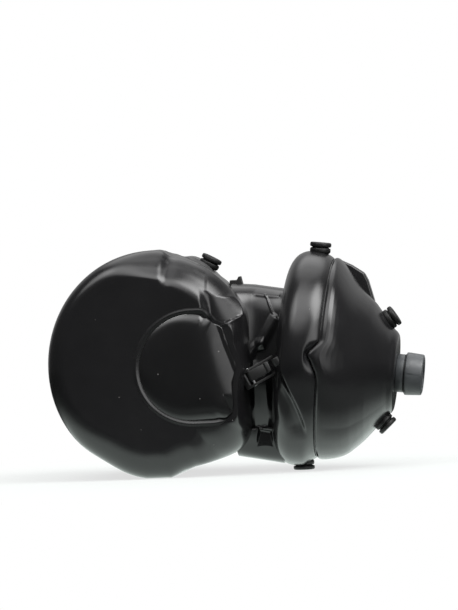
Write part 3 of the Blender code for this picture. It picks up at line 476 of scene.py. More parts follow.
def shapeFace(ring, inset):  # sculpted features of the upper right of the face
    x, y, z = ring[..., 0], ring[..., 1], ring[..., 2]
    front = 1.0 - ramp(y, -62 * mm, -50 * mm)
    away, side, _ = fromPath(x, z, plateauLine)
    out = away * side  # the slope between the flat face and the outer shoulder
    along = ramp(x, -128 * mm, -84 * mm) * (1.0 - ramp(x, -27 * mm, -22 * mm))
    y = y + face["plateauDrop"] * ramp(out, -3 * mm, 9 * mm) * ramp(inset, 1 * mm, 9 * mm) * along * front
    left = np.interp(z / mm, *np.array(face["terraceLeft"]).T) * mm
    right = np.interp(z / mm, *np.array(face["terraceRight"]).T) * mm
    step = np.interp(x / mm, *np.array(face["step"]).T) * mm
    share = np.clip((x - left) / np.maximum(right - left, 5 * mm), 0.0, 1.4)
    floor = -90.5 * mm + 1.5 * mm * share + 12.5 * mm * share ** 2.3
    inside = (ramp(x - left, -9 * mm, 3 * mm) * ramp(z - step, -0.7 * mm, 1.3 * mm)
              * (1.0 - ramp(z, 218 * mm, 228 * mm)))
    y = y + np.maximum(floor - y, 0.0) * inside * front
    ledge = (bell(z - step, -1.8 * mm, 1.7 * mm) * ramp(x, -22 * mm, -16 * mm)
             * (1.0 - ramp(x, 10 * mm, 17 * mm)))
    y = y - 0.8 * mm * ledge * front
    near = np.hypot((x / mm - face["dent"][0]) / 8.0, (z / mm - face["dent"][1]) / 9.0)
    y = y + 1.2 * mm * np.exp(-near ** 2) * front
    near = np.hypot(x / mm - face["knob"][0], z / mm - face["knob"][1]) / 2.6
    y = y - 1.6 * mm * np.exp(-near ** 2) * front
    return np.stack([x, y, z], -1)


def buildFrontShell():
    wide, deep, power = frontEdge(turns)
    radius = hoodRadius(turns) - crownDip(turns)
    start, front, wall = hood["seam"] - hood["gap"] / 2.0, hood["front"], hood["wall"]
    rings, insets = [], []
    for t in np.linspace(0.0, 1.0, 33)[:-1]:
        y = start + (front + deep - start) * t
        rings.append(hoodRing(radius + crownLip(turns) * ramp(y, -9 * mm, -3 * mm) - rearFall(turns, y), y))
        insets.append(0.0 * turns)
    for lift in np.linspace(0.0, 90.0, 38):
        c, s = math.cos(math.radians(lift)), math.sin(math.radians(lift))
        inset, back = wide * (1.0 - c ** (2.0 / power)), deep * (1.0 - s ** (2.0 / power))
        rings.append(hoodRing(radius - inset, front + back))
        insets.append(inset)
    outer, hole = rings[-1], windowRing(3.9 * mm, front)
    for t in np.linspace(0.0, 1.0, 41)[1:]:
        rings.append(outer + (hole - outer) * t)
        insets.append(wide + 20 * mm * t)
    rings, around = np.array(rings), (turns + 180.0) % 360.0 - 180.0
    ease = (ramp(around, -8.0, 14.0) * (1.0 - ramp(around, 46.0, 60.0)))[:, None]
    for _ in range(16):  # eases the ridge between the slope and the flat face
        middle = rings[34:-1]
        rings[34:-1] = middle + 0.5 * ease * ((rings[33:-2] + rings[35:]) / 2.0 - middle)
    rings = [shapeFace(ring, inset) for ring, inset in zip(rings, insets)]
    rings.append(windowRing(3.9 * mm, front + 0.4 * mm))
    rings.append(windowRing(3.9 * mm, front + wall))
    inner = hoodRing(radius - wide - wall * 0.4, front + wall)
    rings.append(rings[-1] * 0.5 + inner * 0.5)
    for lift in np.linspace(90.0, 0.0, 9):
        c, s = math.cos(math.radians(lift)), math.sin(math.radians(lift))
        inset, back = wide * (1.0 - c ** (2.0 / power)), deep * (1.0 - s ** (2.0 / power))
        ring = hoodRing(radius - inset - wall * (0.4 + 0.6 * c), front + back + wall * (0.2 + 0.8 * s))
        ring[:, 1] = np.maximum(ring[:, 1], shapeFace(ring, inset)[:, 1] + wall * 0.8)
        rings.append(ring)
    rings.append(hoodRing(radius - wall - rearFall(turns, start), start))
    rings.append(rings[0])
    piece = rollSheet("hoodFront", rings)
    smooth(piece, 40.0)
    hand(piece, shellBlack, "hood", "black_shell", "hood_front_shell")


buildFrontShell()

# window: a pillowed pad whose right end is cut back at a slant


def buildWindow():
    front = hood["front"]
    middle = np.array([window["x"] * mm, 0.0, window["z"] * mm])
    edge = windowRing(3.7 * mm * (1.0 - ringShare)[:, None], 0.0)
    low = front + window["groove"] * ringShare - 0.2 * mm * (1.0 - ringShare)
    rings = []
    for s, back in ((0.0, 1.0), (0.5, 1.0), (1.0, 1.0), (1.0, 0.0)):
        ring = middle + (edge - middle) * s
        ring[:, 1] = (front + 3 * mm) * back + low * (1.0 - back)
        rings.append(ring)
    for s in np.concatenate([np.linspace(1.0, 0.66, 40)[1:], np.linspace(0.66, 0.0, 22)[1:]]):
        ring = middle + (edge - middle) * s
        reach = np.hypot(*(edge - middle)[:, [0, 2]].T)
        away = (1.0 - s) * reach
        swell = ((1.0 - np.exp(-away / window["round"])) * ringShare
                 + ramp(away, 0.0, 1.0 * mm) * (1.0 - ringShare))
        x, z = ring[:, 0], ring[:, 2]
        height = window["leftRise"] + (window["rise"] - window["leftRise"]) * ramp(x, -70 * mm, -15 * mm)
        level = low - (height + low - front) * swell
        far, side, _ = fromPath(x, z, window["slantLine"])
        right = np.where(side > 0, far, -far)
        right = 0.5 * (right + np.sqrt(right ** 2 + (8.0 * mm) ** 2))
        fall = np.minimum(window["slant"] * np.maximum(right - 0.6 * mm, 0.0), window["rise"] - 0.9 * mm)
        ring[:, 1] = np.minimum(level + fall, low) - 0.6 * mm * (1.0 - s ** 2)
        rings.append(ring)
    piece = rollSheet("windowPad", rings)
    smooth(piece, 50.0)
    hand(piece, visorBlack, "hood", "dark_visor", "visor")


def buildWindowSeal():
    front = hood["front"]
    section = [(0.15, 3.0, 3.0), (0.15, 0.62, 2.6), (0.7, 0.50, 2.4), (1.3, 0.28, 2.3), (1.9, -0.05, 2.2),
               (2.5, -0.35, 2.1), (3.1, -0.65, 2.1), (3.7, -0.78, 2.1),
               (4.3, -0.70, 2.1), (4.9, -0.50, 2.1), (5.6, -0.25, 2.1), (6.4, -0.05, 2.1), (7.0, 0.05, 2.1),
               (3.6, 0.15, 2.2), (3.6, 3.0, 3.0), (0.15, 3.0, 3.0)]
    rings = [windowRing(grow * mm, front + (y * ringShare + flat * (1.0 - ringShare)) * mm)
             for grow, y, flat in section]
    piece = rollSheet("windowSeal", rings)
    smooth(piece, 60.0)
    hand(piece, sealGloss, "hood", "seal_rubber", "visor_seal")


buildWindow()
buildWindowSeal()


# rear shell, with the head opening, its stretch seal and the clamp ring

opening = {"halfWidth": 80.0 * mm, "halfHeight": 89.1 * mm, "sheet": 2 * mm, "reach": 34 * mm, "dip": 6 * mm,
           "clampWidth": 8 * mm, "clampHeight": 3 * mm}


def openingRing(grow, y):
    side, up = np.sin(np.radians(turns)), np.cos(np.radians(turns))
    ring = np.stack([hood["x"] + (opening["halfWidth"] + grow) * side, y + 0.0 * turns,
                     hood["z"] + (opening["halfHeight"] + grow) * up], 1)
    ring[-1] = ring[0]
    return ring


def buildRearShell():
    radius, crown = hoodRadius(turns) - crownDip(turns), crownLip(turns)
    lip = leftLip(turns) + crown
    start, rear, wall = hood["seam"] + hood["gap"] / 2.0, hood["rear"], hood["wall"]
    edge = hood["edge"] + 18 * mm * chinShare(turns)
    rings = [hoodRing(radius - wall - rearFall(turns, start), start)]
    for t in np.linspace(0.0, 1.0, 12):
        y = start + (rear - edge - start) * t
        rings.append(hoodRing(radius + crown + (lip - crown) * ramp(t, 0.0, 0.12) - rearFall(turns, y), y))
    for lift in np.linspace(0.0, 90.0, 18)[1:]:
        c, s = math.cos(math.radians(lift)), math.sin(math.radians(lift))
        rings.append(hoodRing(radius + lip * c - edge * (1.0 - c) - rearFall(turns, rear),
                              rear - edge * (1.0 - s)))
    outer, hole = rings[-1], openingRing(0.0, rear)
    for t in np.linspace(0.0, 1.0, 8)[1:]:
        rings.append(outer + (hole - outer) * t)
    rings.append(openingRing(0.0, rear - wall))
    for lift in np.linspace(90.0, 0.0, 8):
        c, s = math.cos(math.radians(lift)), math.sin(math.radians(lift))
        rings.append(hoodRing(radius - edge * (1.0 - c) - wall * (0.3 + 0.7 * c) - rearFall(turns, rear),
                              rear - edge * (1.0 - s) - wall * (0.3 + 0.7 * s)))
    rings.append(rings[0])
    piece = rollSheet("hoodRear", rings)
    smooth(piece, 40.0)
    hand(piece, shellBlack, "hood", "black_shell", "hood_rear_shell")


def buildNeckSeal():
    start = hood["rear"] + hood["gap"]
    end, reach, dip = start + opening["sheet"], opening["reach"], opening["dip"]
    upper = [(opening["clampWidth"], end)]
    lower = [(opening["clampWidth"], start)]
    for t in np.linspace(0.0, 1.0, 22):
        fold = 0.35 * mm * math.sin(t * 26.0) * (1.0 - t)
        sag = dip * ramp(t, 0.0, 1.0)
        upper.append((-reach * t, end - sag + fold))
        lower.append((-reach * t, start - sag + fold))
    lip = [(-reach - 0.9 * mm, end - dip - 0.3 * mm), (-reach - 1.3 * mm, (start + end) / 2.0 - dip),
           (-reach - 0.9 * mm, start - dip + 0.3 * mm)]
    section = upper + lip + lower[::-1]
    rings = [openingRing(grow, y) for grow, y in section + section[:1]]
    piece = rollSheet("neckSeal", rings)
    smooth(piece, 50.0)
    hand(piece, stretchRubber, "hood", "seal_rubber", "neck_seal")


def buildClampRing():
    start = hood["rear"] + 2 * hood["gap"] + opening["sheet"]
    w, h, r = opening["clampWidth"], opening["clampHeight"], 0.9 * mm
    section = [(0.0, start), (w, start), (w, start + h - r), (w - r * 0.3, start + h - r * 0.3),
               (w - r, start + h),
               (w * 0.5, start + h + 0.0), (r, start + h), (r * 0.3, start + h - r * 0.3),
               (0.0, start + h - r)]
    rings = [openingRing(grow, y) for grow, y in section + section[:1]]
    piece = rollSheet("clampRing", rings)
    smooth(piece, 50.0)
    hand(piece, fittingBlack, "hood", "black_fitting", "neck_seal_ring")


buildRearShell()
buildNeckSeal()
buildClampRing()
print("hood done")


# boot: the narrow waist, with its folds pressed in

flankX = hood["x"] + hood["flank"]
boot = {"length": 26.4 * mm, "top": 205.5 * mm, "topEnd": 200.8 * mm, "bottom": 11 * mm, "bottomFall": 0.2,
        "waist": 48 * mm, "deep": 57 * mm, "flare": 30 * mm, "square": 4.0, "wall": 3 * mm, "bury": 22 * mm,
        "entry": 18 * mm,
        "around": 420, "rows": 130}
folds = {"crumple": [(52.0, 193.2), (38.0, 194.0), (26.0, 196.5)],
         "pucker": [(34.0, 142.6), (26.0, 142.0), (19.0, 136.0), (16.0, 130.0)],
         "crease": [(35.0, 194.0), (37.3, 189.8), (43.0, 173.9), (47.0, 170.5)],
         "band": [(47.0, 171.0), (42.6, 164.5), (37.8, 156.0), (33.0, 148.5), (29.0, 142.5)],
         "panel": [(27.2, 96.0), (27.0, 80.0), (25.5, 52.0)], "panelHalf": 11 * mm,
         "hollow": [(22.2, 49.4), (36.4, 46.4), (41.3, 14.0), (13.1, 12.0)], "hollowDepth": 41.5 * mm,
         "groove": [(41.0, 130.0), (47.0, 115.0), (53.0, 103.0), (58.5, 90.4), (66.3, 72.8), (72.4, 52.0),
                    (74.6, 35.5)],
         "grooveDepth": 6.5 * mm}


def bootRing(x, inset, angle):
    left, right = flankX, flankX + boot["length"]
    middle = (left + right) / 2.0
    spreadOut = min(abs(x - middle) / boot["flare"], 1.0)
    deep = boot["waist"] + (boot["deep"] - boot["waist"]) * spreadOut ** 2 - inset
    share = (x - left) / boot["length"]
    top = (boot["top"] + (boot["topEnd"] - boot["top"]) * share if x > left
           else boot["top"] + 0.085 * (left - x))
    bottom = boot["bottom"] - boot["bottomFall"] * (x - middle) + inset + 0.9 * max(0.0, x - right)
    top = top - inset
    c, s = np.cos(angle), np.sin(angle)
    power = 2.0 / boot["square"]
    y = deep * np.sign(c) * np.abs(c) ** power
    z = (top + bottom) / 2.0 + (top - bottom) / 2.0 * np.sign(s) * np.abs(s) ** power
    return np.stack([x + 0.0 * y, y, z], 1)


def foldBoot(ring):
    x, y, z = ring[:, 0], ring[:, 1], ring[:, 2]
    side, push = np.sign(y), 0.0 * x
    for path, high, wide, fade in (("crumple", 1.7, 4.0, 5.0), ("pucker", 2.6, 6.0, 8.0),
                                   ("band", 3.4, 7.0, 10.0)):
        # a straight flank towards the light, a soft one away from it
        away, turn, run = fromPath(x, z, soft(folds[path]))
        push += (high * mm * np.where(turn > 0, 1.0 - ramp(away, 0.0, fade * mm),
                                      np.maximum(0.0, 1.0 - away / (wide * mm))) * ramp(run, 0.0, 0.08))
    away, turn, run = fromPath(x, z, folds["crease"])
    push += 1.3 * mm * np.maximum(0.0, 1.0 - away / (1.8 * mm))
    across = np.abs(x - np.interp(z / mm, *np.array(folds["panel"][::-1])[:, ::-1].T) * mm)
    long = ramp(z, 48 * mm, 52 * mm) * (1.0 - ramp(z, 100 * mm, 122 * mm))
    push += ((3.0 * mm + 0.34 * (z - 75 * mm))
             * (1.0 - ramp(across, folds["panelHalf"] - 5 * mm, folds["panelHalf"] + 2 * mm)) * long)
    push -= 0.8 * mm * bell(across, folds["panelHalf"] + 2 * mm, 3.5 * mm) * long
    corners = np.array(folds["hollow"]) * mm
    inside = np.full(x.shape, 1.0)
    for (x0, z0), (x1, z1) in zip(corners, np.roll(corners, -1, 0)):
        inside = np.minimum(inside, ((z0 - z) * (x1 - x0) - (x0 - x) * (z1 - z0))
                            / math.hypot(x1 - x0, z1 - z0))
    push += np.minimum(0.0, folds["hollowDepth"] - np.abs(y)) * ramp(inside, -0.5 * mm, 3.0 * mm)
    flat = ramp(np.abs(y), 18 * mm, 40 * mm)
    return np.stack([x, y + side * push * flat, z], 1)


def buildBoot():
    left, right = flankX - boot["bury"], flankX + boot["length"] + boot["entry"]
    angle = np.linspace(0.0, math.tau, boot["around"] + 1)
    outer, inner = [], []
    for x in np.linspace(left, right, boot["rows"] + 1):
        ring = foldBoot(bootRing(x, 0.0, angle))
        ring[-1] = ring[0]
        outer.append(ring)
    for x in np.linspace(right, left, 12):
        ring = bootRing(x, boot["wall"] + 5 * mm, angle)
        ring[-1] = ring[0]
        inner.append(ring)
    piece = rollSheet("waistBoot", outer + inner + outer[:1])
    smooth(piece, 50.0)
    hand(piece, shellBlack, "hood", "black_shell", "neck_boot")


buildBoot()


# filter chamber: a wheel-like rim and a cone that hangs a little low, both spun round a tilted axis

chamber = {"x": 95.7 * mm, "z": 121.5 * mm, "tilt": math.radians(7.3), "face": -50 * mm, "rim": 116 * mm,
           "footFull": 4.5 * mm, "seam": 110.5 * mm,
           "port": 50 * mm, "cone": 111.7 * mm, "length": 75 * mm, "bend": 50 * mm,
           "bendRadius": 74.5 * mm, "tip": 72 * mm, "tipRadius": 48 * mm, "end": 78.5 * mm,
           "faceRadius": 41 * mm, "drop": 9.5 * mm, "steps": 360}
key = [(-60, 0.0), (-24, 0.0), (-19, 0.8), (-13, 2.2), (0, 8.6), (4.0, 11.4), (5.8, 11.9), (8.8, 10.4),
       (21.0, 0.6), (24, 0.0), (60, 0.0)]


def toWorld(local):
    u, y, w = local[:, 0], local[:, 1], local[:, 2]
    c, s = math.cos(chamber["tilt"]), math.sin(chamber["tilt"])
    return np.stack([chamber["x"] + u * c + w * s, y, chamber["z"] - u * s + w * c], 1)


keyTable = np.interp(np.arange(-80.0, 80.5, 0.5), *np.array(key).T)
softKernel = bell(np.arange(-48, 49), 0.0, 17.0)
softTable = np.convolve(keyTable, softKernel / softKernel.sum(), "same")


# how far the seam runs back towards the rim, on the front only; softer away from the seam
def keyShift(y, w, far):
    sharp, gentle = (np.interp(w / mm, np.arange(-80.0, 80.5, 0.5), table) for table in (keyTable, softTable))
    return -(sharp + (gentle - sharp) * far) * mm * (y < 0.0)


def coneRadius(u):
    first = (chamber["cone"] - chamber["bendRadius"]) / (chamber["bend"] - 4 * mm)
    second = (chamber["bendRadius"] - chamber["tipRadius"]) / (chamber["tip"] - chamber["bend"])
    return chamber["bendRadius"] - np.where(u < chamber["bend"], first, second) * (u - chamber["bend"])


def coneDrop(u):
    return chamber["drop"] * ramp(u / chamber["length"], 0.08, 0.50)


def buildRim():
    f, r, seam = chamber["face"], chamber["rim"], chamber["seam"]
    outside = soft([(f + 1.0 * mm, chamber["port"]), (f, r - 60 * mm), (f, r - 40 * mm),
                    (f + 2.2 * mm, r - 20 * mm), (f + 8.5 * mm, r - 7 * mm),
                    (f + 18 * mm, r - 0.9 * mm), (f + 27 * mm, r), (f + 36 * mm, r - 0.5 * mm),
                    (f + 42 * mm, r - 2.0 * mm), (f + 46.5 * mm, r - 4.2 * mm),
                    (-1.1 * mm, seam - 0.4 * mm), (-0.45 * mm, seam - 1.6 * mm),
                    (-0.45 * mm, seam - 7.5 * mm)], 3)
    inside = [(-7.5 * mm, seam - 7.5 * mm), (-22 * mm, r - 6 * mm), (f + 20 * mm, r - 8 * mm),
              (f + 8 * mm, r - 22 * mm), (f + 4 * mm, r - 44 * mm), (f + 4 * mm, chamber["port"])]
    piece = turnPiece("chamberRim", list(map(tuple, outside)) + inside, chamber["steps"])
    local = points(piece)
    u, y, w = local.T
    local[:, 0] = u + keyShift(y, w, 1.0 - ramp(u, -12 * mm, -3 * mm)) * ramp(u, -20 * mm, -2 * mm)
    around = np.maximum(np.hypot(y, w), 20 * mm)
    # fuller round the foot stud
    low = (chamber["footFull"] * ramp(-w / around, 0.70, 0.97) * (around > 60 * mm)
           * (1.0 - ramp(u, -15 * mm, -3 * mm)))
    local[:, 1:] *= (1.0 + low / around)[:, None]
    local = toWorld(local)
    x, y, z = local.T
    # slanted groove that runs from the waist into the rim's front
    away, side, run = fromPath(x, z, soft(folds["groove"]))
    cut = np.where(side > 0, 1.0 - ramp(away, 0.0, 6 * mm), 1.0 - ramp(away, 4 * mm, 20 * mm))
    around = np.hypot(y, z - chamber["z"])
    depth = (folds["grooveDepth"] * cut * ramp(run, 0.0, 0.10) * (1.0 - ramp(run, 0.82, 1.0))
             * ramp(-y, 20 * mm, 45 * mm) * (around > 70 * mm))
    local[:, 1] += depth * 0.85
    local[:, 2] += depth * 0.4
    setPoints(piece, local)
    smooth(piece, 45.0)
    hand(piece, shellBlack, "hood", "black_shell", "chamber_rim")


coneFront = [(1.1, 110.1), (3, 111.2), (6, 111.4), (10, 110.6), (14, 108.7), (18, 106.2), (22, 103.2),
             (28, 98.2), (36, 91.0), (44, 83.2), (50, 76.9),
             (56, 69.4), (62, 61.5), (68, 53.7), (72, 48.1)]  # fuller line of the cone in front and below


def buildCone():
    seam, end = chamber["seam"], chamber["end"]
    line = [(0.45 * mm, seam - 7.5 * mm), (0.45 * mm, seam - 1.6 * mm), (1.1 * mm, seam - 0.4 * mm),
            (3.5 * mm, seam + 0.2 * mm), (6.5 * mm, seam - 0.9 * mm)]
    line += [(u * mm, float(coneRadius(u * mm))) for u in (10, 15, 20, 26, 32, 38, 44, 50, 56, 62, 68)]
    line += [(chamber["tip"], chamber["tipRadius"]), (end - 2.6 * mm, 45 * mm),
             (end - 0.4 * mm, chamber["faceRadius"] + 1 * mm), (end, chamber["faceRadius"] - 2 * mm),
             (end, 30 * mm), (end, 19.3 * mm)]
    outside = soft(line, 3)
    inside = [(end - 3 * mm, 19.3 * mm), (end - 3 * mm, 40 * mm), (48 * mm, 70 * mm), (20 * mm, 92 * mm),
              (12 * mm, seam - 8 * mm)]
    piece = turnPiece("chamberCone", list(map(tuple, outside)) + inside, chamber["steps"])
    local = points(piece)
    u, y, w = local.T
    around = np.hypot(y, w)
    full = np.maximum(ramp(-y / np.maximum(around, 1e-6), 0.25, 0.95),
                      ramp(-w / np.maximum(around, 1e-6), 0.35, 0.8))
    plain = np.interp(u, outside[:, 0], outside[:, 1])
    swell = ((np.interp(u / mm, *np.array(coneFront).T) * mm - plain) * full * (around > plain - 2 * mm)
             * (u > 1.0 * mm) * (u < chamber["tip"]))
    far = ramp(u, 2 * mm, 12 * mm)
    shift = keyShift(y, w, far) * (1.0 - ramp(u, 1 * mm, 36 * mm))
    swell = swell + 3.0 * mm * np.clip(-shift / (12 * mm), 0.0, 1.0)
    grow = 1.0 + swell / np.maximum(around, 20 * mm)
    local[:, 0], local[:, 1], local[:, 2] = u + shift, y * grow, w * grow - coneDrop(u)
    setPoints(piece, toWorld(local))
    smooth(piece, 45.0)
    hand(piece, shellBlack, "hood", "black_shell", "chamber_cone")


buildRim()
buildCone()
print("chamber done")


# grey coupling: spigot, dark ring and the turning collar

coupling = {"bore": 16 * mm, "tube": 19 * mm, "start": 59 * mm, "shoulder": 20.9 * mm,
            "shoulderLength": 8.2 * mm, "end": 108 * mm,
            "ring": 21.3 * mm, "ringThick": 0.8 * mm, "collar": 23.4 * mm, "collarEnd": 22.4 * mm,
            "setback": 0.6 * mm, "dot": 1.1 * mm}


def hangCoupling(piece):
    local = points(piece)
    local[:, 2] -= chamber["drop"]
    setPoints(piece, toWorld(local))
    closeUp(piece)
    smooth(piece, 40.0)


def buildCoupling():
    gap, c = 0.3 * mm, coupling
    stop = chamber["end"] + gap
    ring = stop + c["shoulderLength"]
    lip = c["end"] - 3 * mm
    profile = [(c["start"], c["bore"]), (c["start"], c["tube"]), (stop, c["tube"]),
               (stop, c["shoulder"] - 0.3 * mm), (stop + 0.4 * mm, c["shoulder"]),
               (ring - 0.5 * mm, c["shoulder"]), (ring, c["shoulder"] - 0.5 * mm), (ring, c["tube"]),
               (lip, c["tube"]), (lip + 1 * mm, c["tube"] + 1 * mm),
               (c["end"] - 0.4 * mm, c["tube"] + 1 * mm), (c["end"], c["tube"] + 0.6 * mm),
               (c["end"], c["bore"] + 0.5 * mm), (c["end"] - 0.5 * mm, c["bore"])]
    piece = turnPiece("couplingSpigot", profile, 128)
    hangCoupling(piece)
    hand(piece, couplingGrey, "hood", "grey_coupling", "spigot")

    low = ring + gap
    profile = [(low, c["tube"] + gap), (low, c["ring"] - 0.2 * mm), (low + 0.2 * mm, c["ring"]),
               (low + c["ringThick"] - 0.2 * mm, c["ring"]),
               (low + c["ringThick"], c["ring"] - 0.2 * mm), (low + c["ringThick"], c["tube"] + gap)]
    piece = turnPiece("couplingRing", profile, 128)
    hangCoupling(piece)
    hand(piece, sealRubber, "hood", "seal_rubber", "coupling_ring")

    low, high = low + c["ringThick"] + gap, c["end"] - c["setback"]
    wide, step = c["tube"] + 1.3 * mm, c["end"] - 3.6 * mm
    profile = [(low, c["tube"] + gap), (low, c["collar"] - 1.2 * mm),
               (low + 0.35 * mm, c["collar"] - 0.4 * mm), (low + 1.1 * mm, c["collar"]),
               (low + 5 * mm, c["collar"]), (low + 5.6 * mm, c["collar"] - 0.15 * mm),
               (high - 1.4 * mm, c["collarEnd"]), (high - 0.4 * mm, c["collarEnd"] - 0.4 * mm),
               (high, c["collarEnd"] - 1.2 * mm), (high, wide + 0.3 * mm), (high - 0.3 * mm, wide),
               (step, wide), (step, c["tube"] + gap)]
    piece = turnPiece("turnCollar", profile, 192)
    local = points(piece)
    away = np.hypot(local[:, 0] - low - 4.5 * mm, local[:, 2])
    near = (away < c["dot"] * 1.6) & (local[:, 1] < -c["tube"] - 2 * mm)
    local[near, 1] += 0.7 * mm * (1.0 - ramp(away[near], c["dot"] * 0.5, c["dot"] * 1.3))
    setPoints(piece, local)
    hangCoupling(piece)
    hand(piece, couplingGrey, "collar", "grey_coupling", "coupling_collar")


buildCoupling()


# rubber studs: modelled once, then copied to each seat

stud = {"radius": 11.7 * mm, "height": 10.5 * mm, "angle": 25.9, "y": 35 * mm, "rimAt": -16.5 * mm,
        "coneAt": 64.5 * mm, "coneLowAt": 67.5 * mm, "footAt": -15 * mm,
        "profile": [(-0.20, 0.0), (-0.20, 0.80), (-0.05, 0.93), (0.05, 0.97), (0.28, 0.97), (0.38, 0.94),
                    (0.43, 0.84), (0.44, 0.78), (0.50, 0.78),
                    (0.51, 0.86), (0.56, 0.97), (0.66, 1.0), (0.84, 1.0), (0.95, 0.96), (1.0, 0.86),
                    (1.0, 0.72), (0.96, 0.66), (0.95, 0.30), (0.95, 0.0)]}


def makeStud(height):  # two rounded discs with a groove between them, height and radius as shares
    profile = [(along * height, radius * stud["radius"]) for along, radius in soft(stud["profile"], 1)]
    piece = turnPiece("studMaster", profile, 96)
    setPoints(piece, points(piece)[:, [1, 2, 0]])
    closeUp(piece)
    return piece


def seatStud(master, name, place, out, node):
    pick(master)
    bpy.ops.object.duplicate()
    piece = bpy.context.object
    piece.name = piece.data.name = name
    out = np.array(out) / np.linalg.norm(out)
    across = np.array([0.0, 1.0, 0.0])
    along = np.cross(across, out)
    local = points(piece)
    setPoints(piece, np.array(place) + local[:, :1] * along + local[:, 1:2] * across + local[:, 2:] * out)
    closeUp(piece)
    smooth(piece, 40.0)
    hand(piece, studRubber, "hood", "black_rubber", node)


def chamberPoint(u, y, w):
    return toWorld(np.array([[u, y, w]]))[0]


def buildStuds():
    master = makeStud(stud["height"])
    a = np.array([stud["angle"] - 2.0, stud["angle"], stud["angle"] + 2.0])
    r = hoodRadius(a)
    side, up = np.sin(np.radians(a)), np.cos(np.radians(a))
    out = (r[0] * up[0] - r[2] * up[2], 0.0, r[2] * side[2] - r[0] * side[0])
    seat = r[1] + crownLip(a[1:2])[0] - rearFall(a[1:2], stud["y"])[0]
    seatStud(master, "studHood", (hood["x"] + seat * side[1], stud["y"], hood["z"] + seat * up[1]), out,
             "stud_hood")
    c, s = math.cos(chamber["tilt"]), math.sin(chamber["tilt"])
    seatStud(master, "studRimTop", chamberPoint(stud["rimAt"], 0.0, chamber["rim"] - 0.5 * mm), (s, 0.0, c),
             "stud_rim_top")
    fall = (chamber["bendRadius"] - chamber["tipRadius"]) / (chamber["tip"] - chamber["bend"])
    for name, u, way, node in (("studConeTop", stud["coneAt"], 1.0, "stud_cone_top"),
                               ("studConeLow", stud["coneLowAt"], -1.0, "stud_cone_bottom")):
        out = (fall * c + way * s, 0.0, -fall * s + way * c)
        seatStud(master, name, chamberPoint(u, 0.0, way * float(coneRadius(u)) - chamber["drop"]), out, node)
    low = -114.9 * mm
    place = chamberPoint(stud["footAt"], 0.0, low)
    foot = makeStud(place[2])
    seatStud(foot, "studFoot", place, (0.0, 0.0, -1.0), "stud_rim_foot")
    for spare in (master, foot):
        bpy.data.objects.remove(spare)


buildStuds()
print("studs done")


# side clips: bracket, pin, lever and catch, the same on both sides

clip = {"slope": math.radians(27.0), "z": 107.3 * mm, "standoff": 1 * mm, "inset": 16 * mm,
        "width": 11.6 * mm, "ear": 2.7 * mm,
        "slot": 2.6 * mm, "rail": 31 * mm, "railHeight": 2.6 * mm, "block": 8.5 * mm,
        "blockStand": 23.5 * mm, "lean": 0.3, "earHeight": 3.6 * mm, "pin": 1.5 * mm, "barrel": 3.3 * mm,
        "thick": 3.6 * mm, "lip": 3 * mm, "lipDrop": 3.4 * mm}


def seatClip(piece, side):
    face = hood["front"] if side < 0 else hood["rear"]
    origin = np.array([flankX + clip["standoff"], face - side * clip["inset"], clip["z"]])
    local = points(piece)
    x, y, z = local[:, 0], side * local[:, 1], local[:, 2]
    c, s = math.cos(clip["slope"]), math.sin(clip["slope"])
    setPoints(piece, origin + np.stack([x * c - z * s, y, x * s + z * c], 1))
    closeUp(piece)
    smooth(piece, 40.0)


